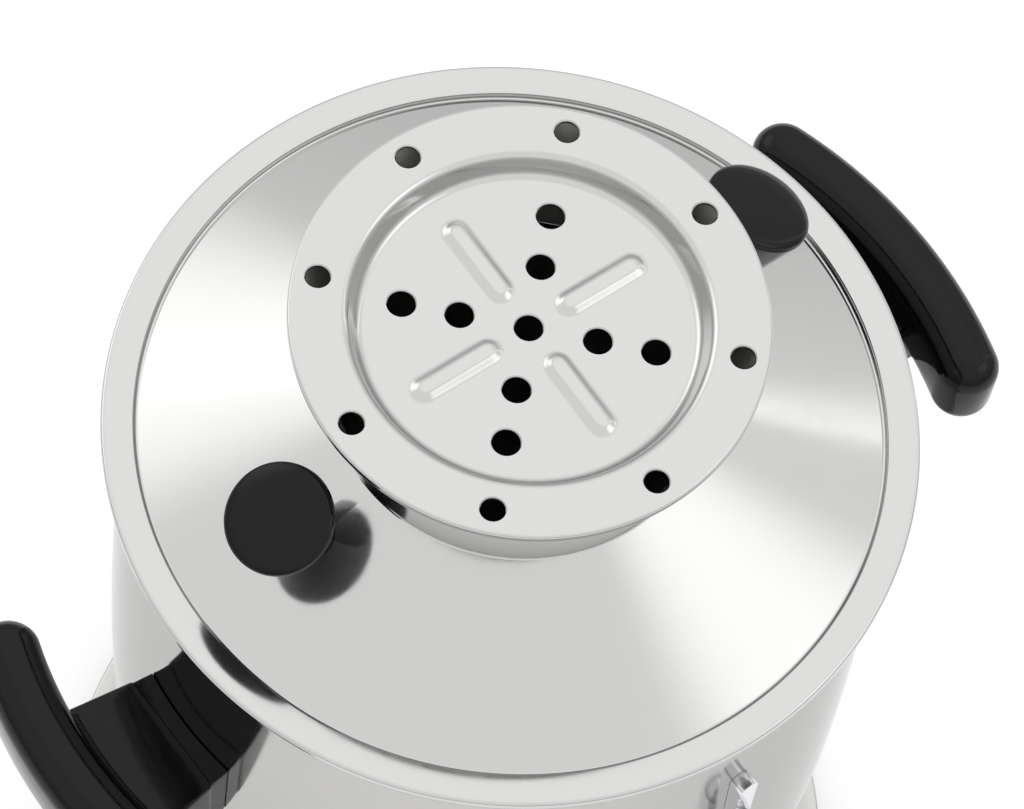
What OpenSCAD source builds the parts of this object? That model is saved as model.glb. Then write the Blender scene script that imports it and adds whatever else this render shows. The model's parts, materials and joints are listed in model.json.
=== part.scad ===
// Electric samovar: a polished steel barrel on a flared base, with a lift-off lid, a perforated
// teapot stand on the lid's neck, two side handles, a plug tap, a sight glass and a heat dial.
// Millimetres. The origin is on the standing plane, on the barrel's axis. +Z is up, the handles
// lie along X and the tap faces -Y.

/* [Barrel] */
// Height of the lid's brim above the standing plane
brim_z = 395; // [380:1:420]
// Largest outer radius of the barrel
belly_r = 136; // [132:0.5:142]
// Height of the largest radius
belly_z = 245; // [225:1:265]
// How much narrower the barrel is just below its rim
mouth_in = 4; // [2:0.5:7]
// Radius of the long arc of the lower barrel
low_arc_r = 1000; // [900:10:1400]
// Height of the joint between barrel and base
waist_z = 55; // [50:1:62]
// Thickness of the barrel's sheet
wall = 1.2; // [0.8:0.1:1.6]
// How far the rolled rim stands out from the mouth
rim_out = 7.4; // [5:0.2:9]
// Radius of the rolled bead itself
rim_bead_r = 2.2; // [1.6:0.1:3]
// Width of the flange that closes the barrel's lower end
waist_flange_w = 23.8; // [20:0.2:30]

/* [Base] */
// How far the base flares out from the waist
skirt_out = 36.72; // [30:0.02:45]
// Height at which the flare reaches its full width
skirt_z = 20; // [16:1:26]
// Height of the base's lower edge
skirt_edge_z = 9; // [6:0.5:12]
// Thickness of the base cover
cover_t = 1.5; // [1:0.1:3]
// Distance of a foot's middle from the base's edge
foot_inset = 22.5; // [18:0.5:30]
// Radius of a foot where it stands
foot_r = 11; // [8:0.5:14]
// Distance of a pillar's middle from the waist
pillar_inset = 13.8; // [11:0.2:17]
// Radius of a pillar
pillar_r = 5; // [4:0.5:6]

/* [Tank] */
// Height of the tank floor's underside
floor_z = 96; // [90:1:110]
// Thickness of the tank floor
floor_t = 1.5; // [1:0.1:2.5]
// Radius of the heating ring's centre line
heater_ring_r = 84; // [70:1:95]
// Radius of the heater's tube
heater_tube_r = 4.2; // [3:0.1:5]
// Height of the heating ring above the tank floor
heater_rise = 24; // [18:1:40]
// Angle between the heater's two legs, at the back
heater_leg_angle = 50; // [30:1:80]

/* [Lid] */
// How far the lid's brim stands out past the rolled rim
brim_out = 0.6; // [0.2:0.1:3]
// Gap between the lid's step and the barrel's mouth
lid_play = 0.7; // [0.4:0.1:1.5]
// How far the step leans in from its top to its foot
step_in = 0.6; // [0.4:0.1:4]
// Depth of the step inside the brim
step_h = 2.4; // [1.6:0.1:8]
// Slope of the lid's cone
cone_slope = 25.6; // [22:0.1:34]
// Outer radius of the neck at its foot
neck_r = 63.8; // [63:0.1:66]
// How far the neck flares out from its foot to its top
neck_flare = 13.6; // [12.6:0.1:18]
// Height of the upright rim at the neck's top
neck_rim_h = 3.4; // [3:0.1:6]
// Thickness of the lid's, neck's and stand's sheet
sheet = 1.2; // [0.8:0.1:1.5]

/* [Teapot stand] */
// Height of the stand's flat ring above the brim
stand_rise = 79.2; // [70:0.2:90]
// Gap between the stand's turned-down edge and the neck's top
stand_play = 0.9; // [0.5:0.1:1.5]
// Width of the stand's flat ring
stand_ring_w = 19.3; // [19:0.1:24]
// How far the dish's side leans in to its floor
dish_side_w = 3.7; // [2:0.1:5]
// Depth of the dish
dish_h = 7.9; // [5:0.1:12]
// Height of the turned-down edge of the stand
stand_lip = 3; // [2:0.1:5]
// Radius of the holes in the ring
ring_hole_r = 4; // [3:0.1:4.5]
// Distance of the ring's holes from the stand's edge
ring_hole_inset = 8.8; // [8.4:0.1:11]
// Radius of the holes in the dish
dish_hole_r = 4.6; // [3:0.1:5]
// Radius of the inner circle of dish holes
dish_hole_inner_r = 23.1; // [20:0.1:26]
// Distance of the outer dish holes from the edge of the dish's floor
dish_hole_inset = 14; // [11:0.1:16]
// Width of a pressed rib
rib_w = 7; // [4:0.5:9]
// Height of a pressed rib
rib_h = 1.5; // [0.8:0.1:2]
// Where a rib starts, measured from the axis
rib_start = 13; // [10:0.5:18]
// Distance of a rib's outer end from the edge of the dish's floor
rib_inset = 11.5; // [8:0.5:16]
// Turn of the hole pattern from the handle axis
stand_turn = 42.8; // [0:0.1:89]

/* [Knobs] */
// Distance of a knob's middle from the foot of the neck
knob_out = 22.3; // [18:0.1:27]
// Height of a knob
knob_h = 36; // [30:0.5:42]
// Radius of a knob at its widest
knob_r = 19; // [16:0.1:21]
// Radius of a knob at its foot
knob_base_r = 8.4; // [6:0.1:10]
// Height of the blunt edge under the dome
knob_edge_t = 2.4; // [2:0.1:5]
// Rise of the knob's domed top
knob_dome_h = 2.6; // [1:0.1:4]

/* [Handles] */
// How far a grip reaches out past the barrel
grip_out = 56.1; // [50:0.1:66]
// Thickness of a grip, measured outwards
grip_t = 23; // [16:0.5:26]
// Height of a grip
grip_h = 33.6; // [28:0.1:44]
// Rounding of a grip's edges
grip_round = 9; // [4:0.5:11]
// Radius of the arc that a grip follows
grip_arc_r = 174.7; // [130:0.1:220]
// Half the distance between a grip's two end rounds
grip_half_chord = 53.6; // [46:0.1:60]
// Height of a grip's top below the brim
grip_drop = 58.9; // [50:0.1:66]
// Height of the bracket's top below the brim
web_drop = 78; // [70:0.5:86]
// Height of the bracket at the barrel
web_h = 36; // [30:0.5:44]
// Height of the bracket at the grip
web_tip_h = 20; // [14:0.5:28]
// Half width of the bracket at the barrel
web_half_w = 23.2; // [19:0.2:28]
// Half width of the bracket at the grip
web_tip_half_w = 30.3; // [24:0.2:36]
// Half the distance between a handle's two bolts
handle_bolt_half = 12; // [9:0.5:15]
// Radius of a handle bolt
handle_bolt_r = 2.5; // [2:0.1:3]
// Length of a threaded insert in a handle
insert_l = 16; // [10:0.5:20]
// Radius of a threaded insert
insert_r = 4; // [3.5:0.1:5]

/* [Tap] */
// Height of the tap's axis
tap_z = 128; // [124:1:136]
// Distance of the plug from the barrel's wall
tap_reach = 38.87; // [34:0.01:48]
// Radius of the tap's threaded shank
shank_r = 8; // [7:0.1:9]
// Radius of the water way
way_r = 4; // [3:0.1:4.5]
// Radius of the tap's flange
tap_flange_r = 15; // [12:0.5:17]
// Thickness of the tap's flange
tap_flange_t = 3.5; // [2:0.1:5]
// Thickness of the gasket under the flange
tap_gasket_t = 2; // [1.5:0.1:3]
// Outer radius of the plug housing
housing_r = 12; // [11:0.1:14]
// Half the height of the plug housing
housing_half_h = 17; // [14:0.5:22]
// Radius of the turning plug
plug_r = 7.5; // [6.5:0.1:8]
// Outer radius of the spout
spout_r = 7; // [6:0.1:8]
// Radius of the spout's bend
spout_bend_r = 12; // [10:0.5:16]
// Straight length of the spout before its bend
spout_run = 12; // [8:0.5:18]
// Straight drop of the spout below its bend
spout_drop = 20; // [14:0.5:28]
// Length of the tap's lever, from the plug's axis
lever_l = 46; // [38:0.5:60]
// Radius of the lever's arm
lever_r = 4.5; // [3.5:0.1:6]
// Radius of the ball at the lever's end
lever_ball_r = 8; // [6:0.1:10]
// Height of the lever's hub
lever_hub_h = 14; // [11:0.5:18]

/* [Sight glass] */
// Distance of the glass's axis from the barrel at its widest
gauge_out = 9.5; // [9:0.1:14]
// Height of the upper fitting's axis below the brim
gauge_drop = 94; // [86:1:110]
// Height of the lower fitting's axis
gauge_low_z = 186; // [182:1:200]
// Outer radius of the glass tube
glass_r = 5; // [4:0.1:6]
// Thickness of the glass
glass_t = 1.5; // [1:0.1:2]
// Outer radius of a fitting
fitting_r = 7.5; // [7:0.1:8.5]
// Half the height of a fitting
fitting_half_h = 11; // [9:0.5:14]
// Radius of a fitting's shank through the wall
fitting_shank_r = 4; // [3:0.1:5]

/* [Controls] */
// Height of the dial's axis
dial_z = 75; // [72:0.5:78]
// Radius of the dial
dial_r = 17; // [14:0.5:19]
// Thickness of the dial
dial_t = 13; // [10:0.5:18]
// Radius of the thermostat's shaft
dial_shaft_r = 3; // [2.5:0.1:3.5]
// Radius of the thermostat's threaded bush
bush_r = 5; // [4.5:0.1:6]
// Radius of the thermostat's case
thermostat_r = 14; // [11:0.5:15]
// Depth of the thermostat's case
thermostat_l = 24; // [18:0.5:32]
// Angle of the pilot lamp from the tap's side
lamp_angle = 22; // [18:0.5:30]
// Radius of the pilot lamp's bezel
lamp_r = 7; // [5:0.1:9]

/* [Mains inlet] */
// Height of the inlet's middle
inlet_z = 76; // [74:0.5:78]
// Width of the inlet's socket
socket_w = 27; // [25:0.5:32]
// Height of the inlet's socket
socket_h = 20; // [19:0.5:22]
// Depth of the inlet's socket
socket_d = 20; // [16:0.5:24]
// Wall of the inlet's housing
socket_wall = 2; // [1.5:0.1:3]
// Half the distance between the inlet's screws
inlet_screw_half = 20; // [19:0.5:24]

/* [Fits] */
// Gap between a turning part and its bore, on the radius
run_gap = 0.05; // [0.02:0.01:0.08]
// Gap between fixed parts that meet on a curve
seat_gap = 0.1; // [0.06:0.02:0.2]
// Gap between parts that lift or turn past each other
free_gap = 0.3; // [0.2:0.05:0.5]
// Gap between a fastener and its hole, on the radius
hole_gap = 0.25; // [0.15:0.05:0.5]

/* [Hidden] */
$fn = 96;
eps = 0.01;
// How far a cut runs past the face that it opens
cut = 1;
// How far a part that is trimmed to the barrel starts beyond its wall
trim = 5;
barrel_steps = 14;
flare_steps = 8;

STEEL = [0.80, 0.81, 0.82];
BLACK = [0.06, 0.06, 0.06];
CHROME = [0.86, 0.86, 0.88];
BRASS = [0.78, 0.62, 0.32];
RUBBER = [0.16, 0.16, 0.17];
CERAMIC = [0.90, 0.88, 0.83];

// The upper arc runs from the belly to the mouth just below the rim.
lid_under_z = brim_z - sheet;
rim_top_z = lid_under_z - free_gap;
top_rise = rim_top_z - belly_z;
mouth_r = belly_r - mouth_in;
top_arc_r = (pow(top_rise, 2) + pow(mouth_in, 2)) / (2 * mouth_in);

function arc_in(radius, rise) = radius - sqrt(pow(radius, 2) - pow(rise, 2));
function barrel_r(z) = belly_r - arc_in(z < belly_z ? low_arc_r : top_arc_r, z - belly_z);
function step_z(i, low, high) = low + (high - low) * i / barrel_steps;
function barrel_side(gap, low, high) = concat(
    [for (i = [0:barrel_steps]) let (z = step_z(i, low, belly_z)) [barrel_r(z) + gap, z]],
    [for (i = [1:barrel_steps]) let (z = step_z(i, belly_z, high)) [barrel_r(z) + gap, z]]
);
function backwards(list) = [for (i = [len(list) - 1:-1:0]) list[i]];
function cone_z(r) = brim_z - step_h + (step_r - r) * tan(cone_slope);

waist_r = barrel_r(waist_z);
waist_flange_r = waist_r - waist_flange_w;
pillar_circle_r = waist_r - pillar_inset;
skirt_r = waist_r + skirt_out;
foot_circle_r = skirt_r - foot_inset;
rim_r = mouth_r + rim_out;
brim_r = rim_r + brim_out;
brim_inner_r = mouth_r - wall - lid_play - sheet;
step_r = brim_inner_r - step_in;
skirt_top_z = waist_z - wall;
cover_top_z = skirt_edge_z + cover_t;
floor_top_z = floor_z + floor_t;
cone_t = sheet / cos(cone_slope);
neck_top_z = brim_z + stand_rise - sheet;
neck_bore_r = neck_r - sheet;
neck_top_r = neck_r + neck_flare;
knob_foot_r = neck_r + knob_out;
stand_r = neck_top_r + stand_play + sheet;
dish_r = stand_r - stand_ring_w;
dish_floor_r = dish_r - dish_side_w;
ring_hole_circle_r = stand_r - ring_hole_inset;
dish_hole_outer_r = dish_floor_r - dish_hole_inset;
rib_end = dish_floor_r - rib_inset;
ring_angles = [for (i = [0:7]) i * 45];
arm_angles = [0, 90, 180, 270];
quarter_angles = [45, 135, 225, 315];

// Joint screws of the base
base_screw_r = 2;
base_screw_hole_r = base_screw_r + hole_gap;
base_head_r = 3.8;
base_head_h = 2.4;
base_screw_l = 9;

// Shapes that several parts share

// The barrel filled in, grown by a gap, to cut or trim what seats on its wall.
module barrel_solid(gap, low = waist_z, high = rim_top_z) {
    rotate_extrude($fn = 480)
        polygon(concat([[0, low]], barrel_side(gap, low, high), [[0, high]]));
}

// A frame whose X axis points straight out of the barrel at an angle and height.
module facing(angle, z) {
    rotate([0, 0, angle]) translate([0, 0, z]) children();
}

module front(z) facing(-90, z) children();
module back(z) facing(90, z) children();

module rod(x0, x1, r) {
    translate([x0, 0, 0]) rotate([0, 90, 0]) cylinder(h = x1 - x0, r = r);
}

module sleeve(x0, x1, r, bore) {
    difference() {
        rod(x0, x1, r);
        rod(x0 - cut, x1 + cut, bore);
    }
}

module hex_rod(x0, x1, r, bore) {
    difference() {
        translate([x0, 0, 0]) rotate([0, 90, 0]) cylinder(h = x1 - x0, r = r, $fn = 6);
        rod(x0 - cut, x1 + cut, bore);
    }
}

module ring(z0, z1, r, bore) {
    translate([0, 0, z0]) difference() {
        cylinder(h = z1 - z0, r = r);
        translate([0, 0, -cut]) cylinder(h = z1 - z0 + 2 * cut, r = bore);
    }
}

module hex_ring(z0, z1, r, bore) {
    translate([0, 0, z0]) difference() {
        cylinder(h = z1 - z0, r = r, $fn = 6);
        translate([0, 0, -cut]) cylinder(h = z1 - z0 + 2 * cut, r = bore);
    }
}

module around(r, angles) {
    for (angle = angles)
        rotate([0, 0, angle]) translate([r, 0, 0]) children();
}

// Barrel and base

module rim_profile() {
    translate([mouth_r - wall, rim_top_z - wall])
        square([rim_r - rim_bead_r - mouth_r + wall, wall]);
    translate([rim_r - rim_bead_r, rim_top_z - rim_bead_r]) circle(r = rim_bead_r, $fn = 48);
}

// The barrel is welded from an upper shell that holds the water, a lower shell that carries the
// waist's flange, and a panel at the back for the inlet.
module body_shell() color(STEEL) difference() {
    rotate_extrude() {
        polygon(concat(barrel_side(0, floor_z, rim_top_z),
            backwards(barrel_side(-wall, floor_z, rim_top_z))));
        rim_profile();
    }
    for (angle = [0, 180])
        facing(angle, handle_bolt_z) for (side = [-1, 1])
            translate([0, side * handle_bolt_half, 0])
                rod(wall_in, wall_out, handle_bolt_r + hole_gap);
    front(tap_z) rod(wall_in, wall_out, shank_r + hole_gap);
    front(gauge_top_z) rod(wall_in, wall_out, fitting_shank_r + hole_gap);
    front(gauge_low_z) rod(wall_in, wall_out, fitting_shank_r + hole_gap);
}

lower_top_z = floor_z - seat_gap;
panel_low_z = waist_z + wall + seat_gap;
function lower_side(gap, low) = [for (i = [0:flare_steps])
    let (z = low + (lower_top_z - low) * i / flare_steps) [barrel_r(z) + gap, z]];

module lower_blank() {
    rotate_extrude()
        polygon(concat([[waist_flange_r, waist_z]], lower_side(0, waist_z),
            backwards(lower_side(-wall, waist_z + wall)), [[waist_flange_r, waist_z + wall]]));
}

module panel_block(gap) {
    half_w = panel_half_w + gap;
    back(panel_low_z - gap) translate([wall_in, -half_w, 0])
        cube([wall_out - wall_in, 2 * half_w, lower_top_z - waist_z]);
}

module lower_shell() color(STEEL) difference() {
    lower_blank();
    front(dial_z) rod(wall_in, wall_out, bush_r + hole_gap);
    facing(lamp_angle - 90, dial_z) rod(wall_in, wall_out, lamp_body_r + hole_gap);
    panel_block(seat_gap);
    translate([0, 0, waist_z - cut]) around(pillar_circle_r, quarter_angles)
        cylinder(h = wall + 2 * cut, r = base_screw_hole_r);
}

module inlet_panel() color(STEEL) difference() {
    intersection() {
        lower_blank();
        panel_block(0);
    }
    back(inlet_z) inlet_hole();
}

// A cut runs from well inside the barrel's wall to well outside it.
wall_in = waist_r - 3 * trim;
wall_out = max(rim_r, belly_r) + trim;

module tank_floor() color(STEEL) difference() {
    rotate_extrude()
        polygon([[0, floor_z], [barrel_r(floor_z) - wall - seat_gap, floor_z],
            [barrel_r(floor_z) - wall - seat_gap, floor_top_z], [0, floor_top_z]]);
    heater_places() translate([0, 0, floor_z - cut])
        cylinder(h = floor_t + 2 * cut, r = heater_bush_r + hole_gap);
}

flare_w = skirt_r - waist_r;
flare_h = skirt_top_z - skirt_z;
function flare_point(i) = let (turn = 90 * i / flare_steps)
    [waist_r + flare_w * (1 - cos(turn)), skirt_top_z - flare_h * sin(turn)];
flare_side = [for (i = [0:flare_steps]) flare_point(i)];

module base_skirt() color(STEEL) difference() {
    rotate_extrude()
        polygon(concat([[waist_flange_r, skirt_top_z]], flare_side, [[skirt_r, skirt_edge_z],
            [skirt_r - wall, skirt_edge_z]],
            [for (p = backwards(flare_side)) [p[0] - wall, p[1] - wall]],
            [[waist_flange_r, skirt_top_z - wall]]));
    translate([0, 0, skirt_top_z - wall - cut]) around(pillar_circle_r, quarter_angles)
        cylinder(h = wall + 2 * cut, r = base_screw_hole_r);
}

module base_cover() color(STEEL) difference() {
    translate([0, 0, skirt_edge_z]) cylinder(h = cover_t, r = skirt_r - wall - seat_gap);
    translate([0, 0, skirt_edge_z - cut]) {
        around(pillar_circle_r, quarter_angles)
            cylinder(h = cover_t + 2 * cut, r = base_screw_hole_r);
        around(foot_circle_r, arm_angles) cylinder(h = cover_t + 2 * cut, r = base_screw_hole_r);
    }
}

pillar_top_z = skirt_top_z - wall;

module pillars() color(BRASS) around(pillar_circle_r, quarter_angles)
    ring(cover_top_z, pillar_top_z, pillar_r, base_screw_r + run_gap);

module base_screw(head_z, way) {
    translate([0, 0, head_z]) mirror([0, 0, way]) {
        translate([0, 0, -base_screw_l]) cylinder(h = base_screw_l, r = base_screw_r);
        cylinder(h = base_head_h, r = base_head_r);
    }
}

module waist_screws() color(CHROME) around(pillar_circle_r, quarter_angles)
    base_screw(waist_z + wall, 0);

module cover_screws() color(CHROME) around(pillar_circle_r, quarter_angles)
    base_screw(skirt_edge_z, 1);

foot_clamp_t = 3;
foot_taper = 2;
foot_head_gap = 0.8;
foot_nut_h = 3;
foot_nut_r = 4;
foot_recess_z = skirt_edge_z - foot_clamp_t;

module feet() color(RUBBER) around(foot_circle_r, arm_angles) difference() {
    cylinder(h = skirt_edge_z, r1 = foot_r, r2 = foot_r + foot_taper);
    translate([0, 0, -cut]) cylinder(h = foot_recess_z + cut, r = base_head_r + foot_head_gap);
    translate([0, 0, -cut]) cylinder(h = skirt_edge_z + 2 * cut, r = base_screw_hole_r);
}

module foot_screws() color(CHROME) around(foot_circle_r, arm_angles)
    base_screw(foot_recess_z, 1);

module foot_nuts() color(CHROME) around(foot_circle_r, arm_angles)
    hex_ring(cover_top_z, cover_top_z + foot_nut_h, foot_nut_r, base_screw_r + run_gap);

// Heater and its fastening

heater_ring_z = floor_top_z + heater_rise;
heater_bush_wall = 2;
heater_bush_r = heater_tube_r + heater_bush_wall;
heater_bush_spare = 2;
heater_collar_h = 3;
heater_collar_r = heater_bush_r + heater_collar_h;
heater_seal_t = 2;
heater_nut_h = 5;
heater_nut_w = 4;
heater_corner = 0.5;
heater_leg_l = 16;
heater_leg_z = floor_z - heater_leg_l;
// Contact pins of the heater, the limiter and the thermostat
contact_l = 6;
contact_r = 1.5;

module heater_places() {
    for (side = [-1, 1])
        rotate([0, 0, 90 + side * heater_leg_angle / 2]) translate([heater_ring_r, 0, 0]) children();
}

module heater_element() color([0.45, 0.45, 0.47]) {
    translate([0, 0, heater_ring_z]) rotate([0, 0, 90 + heater_leg_angle / 2])
        rotate_extrude(angle = 360 - heater_leg_angle)
            translate([heater_ring_r, 0]) circle(r = heater_tube_r);
    heater_places() {
        translate([0, 0, heater_ring_z]) sphere(r = heater_tube_r + heater_corner);
        translate([0, 0, heater_leg_z])
            cylinder(h = heater_ring_z - heater_leg_z, r = heater_tube_r);
        translate([0, 0, heater_leg_z - contact_l]) cylinder(h = contact_l, r = contact_r);
    }
}

module heater_bushes() color(BRASS) heater_places() {
    bush_low_z = floor_z - heater_nut_h - heater_bush_spare;
    collar_z = floor_top_z + heater_seal_t;
    bore = heater_tube_r + run_gap;
    ring(bush_low_z, collar_z + heater_collar_h, heater_bush_r, bore);
    ring(collar_z, collar_z + heater_collar_h, heater_collar_r, bore);
}

module heater_seals() color(RUBBER) heater_places()
    ring(floor_top_z, floor_top_z + heater_seal_t, heater_collar_r, heater_bush_r + run_gap);

module heater_nuts() color(BRASS) heater_places()
    hex_ring(floor_z - heater_nut_h, floor_z, heater_bush_r + heater_nut_w, heater_bush_r + run_gap);

limiter_h = 11;
limiter_r = 8;
limiter_flange_t = 1.5;
limiter_flange_r = 12;
limiter_contact_half = 4;

module heat_limiter() color(BLACK) {
    translate([0, 0, floor_z - limiter_h]) cylinder(h = limiter_h, r = limiter_r);
    translate([0, 0, floor_z - limiter_flange_t])
        cylinder(h = limiter_flange_t, r = limiter_flange_r);
    for (side = [-1, 1])
        translate([side * limiter_contact_half, 0, floor_z - limiter_h - contact_l])
            cylinder(h = contact_l, r = contact_r);
}

// Heat dial and pilot lamp

dial_wall_r = barrel_r(dial_z);
dial_seat_t = 1.5;
dial_seat_r = bush_r + 4;
dial_seat_x = barrel_r(dial_z + dial_seat_r) + dial_seat_t;
bush_nut_t = 2.5;
bush_end_x = dial_seat_x + bush_nut_t;
dial_back_x = bush_end_x + free_gap;
thermostat_x = dial_wall_r - thermostat_l - wall;
thermostat_contact_half = 6;
shaft_inset = 6;

module thermostat() color(CERAMIC) front(dial_z) difference() {
    union() {
        intersection() {
            rod(thermostat_x, dial_wall_r + trim, thermostat_r);
            translate([0, 0, -dial_z]) barrel_solid(-wall - seat_gap);
        }
        rod(thermostat_x + cut, bush_end_x, bush_r);
        for (side = [-1, 1])
            translate([0, side * thermostat_contact_half, 0])
                rod(thermostat_x - contact_l, thermostat_x, contact_r);
    }
    rod(thermostat_x + shaft_inset, bush_end_x + cut, dial_shaft_r + run_gap);
}

module dial_seat() color(RUBBER) front(dial_z) difference() {
    sleeve(dial_wall_r - trim, dial_seat_x, dial_seat_r, bush_r + run_gap);
    translate([0, 0, -dial_z]) barrel_solid(seat_gap);
}

module bush_nut() color(CHROME) front(dial_z)
    hex_rod(dial_seat_x, bush_end_x, dial_seat_r, bush_r + run_gap);

dial_end_x = dial_back_x + dial_t;
dial_cap_t = 3;
dial_bore_x = dial_end_x - dial_cap_t;
dial_skirt_t = 4;
dial_grip_r = dial_r - 3;
dial_bar_w = 5;
dial_bar_rise = 2;

module dial_shaft() color(CHROME) front(dial_z)
    rod(thermostat_x + shaft_inset + free_gap, dial_bore_x, dial_shaft_r);

module dial_knob() color(BLACK) front(dial_z) difference() {
    union() {
        rod(dial_back_x, dial_back_x + dial_skirt_t, dial_r);
        rod(dial_back_x, dial_end_x, dial_grip_r);
        translate([dial_back_x, -dial_bar_w / 2, -dial_grip_r])
            cube([dial_t + dial_bar_rise, dial_bar_w, 2 * dial_grip_r]);
    }
    rod(dial_back_x - cut, dial_bore_x, dial_shaft_r + run_gap);
}

lamp_wall_r = barrel_r(dial_z);
lamp_lip_w = 2.5;
lamp_body_r = lamp_r - lamp_lip_w;
lamp_lip_t = 1.5;
lamp_face_x = barrel_r(dial_z + lamp_r) + lamp_lip_t;
lamp_body_l = 16;
lamp_bore_r = lamp_body_r - 1;
lens_proud = 1;
lamp_recess = 6;
lamp_dome_h = 2;

module lamp_bezel() color(CHROME) facing(lamp_angle - 90, dial_z) difference() {
    union() {
        difference() {
            rod(lamp_wall_r - trim, lamp_face_x, lamp_r);
            translate([0, 0, -dial_z]) barrel_solid(seat_gap);
        }
        rod(lamp_wall_r - lamp_body_l, lamp_face_x, lamp_body_r);
    }
    rod(lamp_face_x - lamp_recess, lamp_face_x + cut, lamp_bore_r);
}

module lamp_lens() color([0.8, 0.1, 0.06]) facing(lamp_angle - 90, dial_z) {
    lens_r = lamp_bore_r - run_gap;
    translate([lamp_face_x - lamp_recess, 0, 0]) rotate([0, 90, 0]) rotate_extrude()
        polygon(concat([[0, 0], [lens_r, 0]], [for (turn = [0:15:90])
            [lens_r * cos(turn), lamp_recess + lens_proud + lamp_dome_h * sin(turn)]]));
}

// Mains inlet at the back

inlet_wall_r = barrel_r(inlet_z);
inlet_half_h = socket_h / 2 + socket_wall;
inlet_half_w = socket_w / 2 + socket_wall;
inlet_rim = 2;
inlet_plate_t = 2.5;
inlet_face_x = barrel_r(inlet_z + inlet_half_h + inlet_rim) + inlet_plate_t;
inlet_back_x = inlet_face_x - socket_d - socket_wall;
inlet_screw_r = 1.5;
inlet_tab_l = 6;
inlet_ear_w = 5;
inlet_screw_l = 12;
inlet_head_h = 2;
inlet_head_r = 2.8;

module inlet_hole() {
    hole_w = 2 * (inlet_half_w + free_gap);
    hole_h = 2 * (inlet_half_h + free_gap);
    translate([wall_in, -hole_w / 2, -hole_h / 2]) cube([wall_out - wall_in, hole_w, hole_h]);
    for (side = [-1, 1])
        translate([0, side * inlet_screw_half, 0]) rod(wall_in, wall_out, inlet_screw_r + hole_gap);
}

ear_end = inlet_screw_half + inlet_ear_w;
panel_margin = 5;
panel_half_w = ear_end + panel_margin;

module inlet_socket() color(BLACK) back(inlet_z) difference() {
    union() {
        translate([inlet_back_x, -inlet_half_w, -inlet_half_h])
            cube([inlet_face_x - inlet_back_x, 2 * inlet_half_w, 2 * inlet_half_h]);
        difference() {
            translate([inlet_face_x - 2 * trim, -ear_end, -inlet_half_h - inlet_rim])
                cube([2 * trim, 2 * ear_end, 2 * (inlet_half_h + inlet_rim)]);
            translate([0, 0, -inlet_z]) barrel_solid(seat_gap);
        }
    }
    translate([inlet_face_x - socket_d, -socket_w / 2, -socket_h / 2])
        cube([socket_d + cut, socket_w, socket_h]);
    for (side = [-1, 1])
        translate([0, side * inlet_screw_half, 0])
            rod(wall_in, wall_out, inlet_screw_r + run_gap);
    inlet_pin_places() rod(inlet_back_x - cut, inlet_face_x, pin_r + run_gap);
}

pin_r = 1.8;
pin_low = -3;
pin_high = 1;
pin_half = 7;
pin_recess = 4;

module inlet_pin_places() {
    for (place = [[-pin_half, pin_low], [pin_half, pin_low], [0, pin_high]])
        translate([0, place[0], place[1]]) children();
}

module inlet_pins() color(BRASS) back(inlet_z) inlet_pin_places()
    rod(inlet_back_x - inlet_tab_l, inlet_face_x - pin_recess, pin_r);

module inlet_screws() color(CHROME) back(inlet_z) for (side = [-1, 1])
    translate([0, side * inlet_screw_half, 0]) {
        rod(inlet_face_x - inlet_screw_l, inlet_face_x, inlet_screw_r);
        rod(inlet_face_x, inlet_face_x + inlet_head_h, inlet_head_r);
    }

// Insulated leads run from the inlet to the thermostat, the limiter and the heater.
wire_r = 1.5;
bend_r = 1.8;

module lead(points) {
    for (i = [0:len(points) - 2]) {
        span = points[i + 1] - points[i];
        length = norm(span);
        translate(points[i])
            rotate([0, acos(span[2] / length), atan2(span[1], span[0])])
                cylinder(h = length, r = wire_r, $fn = 24);
    }
    for (i = [1:len(points) - 2])
        translate(points[i]) sphere(r = bend_r, $fn = 24);
}

wire_run = 6;
wire_drop = 8;
wire_side = 18;

module wiring() color([0.75, 0.72, 0.62]) {
    tab_y = inlet_back_x - inlet_tab_l;
    tab_z = inlet_z + pin_low;
    leg_x = heater_ring_r * sin(heater_leg_angle / 2);
    leg_y = heater_ring_r * cos(heater_leg_angle / 2);
    leg_z = heater_leg_z - contact_l;
    case_x = thermostat_contact_half;
    case_y = -(thermostat_x - contact_l);
    limit_x = limiter_contact_half;
    limit_z = floor_z - limiter_h - contact_l;
    lead([[pin_half, tab_y, tab_z], [pin_half, tab_y - wire_run, tab_z],
        [wire_side, 0, leg_z - wire_drop], [case_x, case_y + wire_run, dial_z],
        [case_x, case_y, dial_z]]);
    lead([[-case_x, case_y, dial_z], [-case_x, case_y + wire_drop, dial_z],
        [-limit_x, 0, limit_z - wire_drop], [-limit_x, 0, limit_z]]);
    lead([[limit_x, 0, limit_z], [limit_x, 0, limit_z - wire_run],
        [leg_x, leg_y, leg_z - wire_run], [leg_x, leg_y, leg_z]]);
    lead([[-pin_half, tab_y, tab_z], [-pin_half, tab_y - wire_run, tab_z],
        [-leg_x, leg_y, leg_z - wire_run], [-leg_x, leg_y, leg_z]]);
}

// Side handles

grip_reach = belly_r + grip_out;
grip_mid_x = grip_reach - grip_t / 2;
grip_centre_x = grip_mid_x - grip_arc_r;
grip_end_angle = asin(grip_half_chord / grip_arc_r);
grip_top_z = brim_z - grip_drop;
grip_low_z = grip_top_z - grip_h;
web_top_z = brim_z - web_drop;
handle_bolt_z = web_top_z - web_h / 2;
web_root_x = mouth_r - 4 * trim;

module grip_section() {
    half_t = grip_t / 2 - grip_round;
    half_h = grip_h / 2 - grip_round;
    square([grip_t, 2 * half_h], center = true);
    square([2 * half_t, grip_h], center = true);
    for (x = [-half_t, half_t], y = [-half_h, half_h])
        translate([x, y]) circle(r = grip_round, $fn = 48);
}

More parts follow.
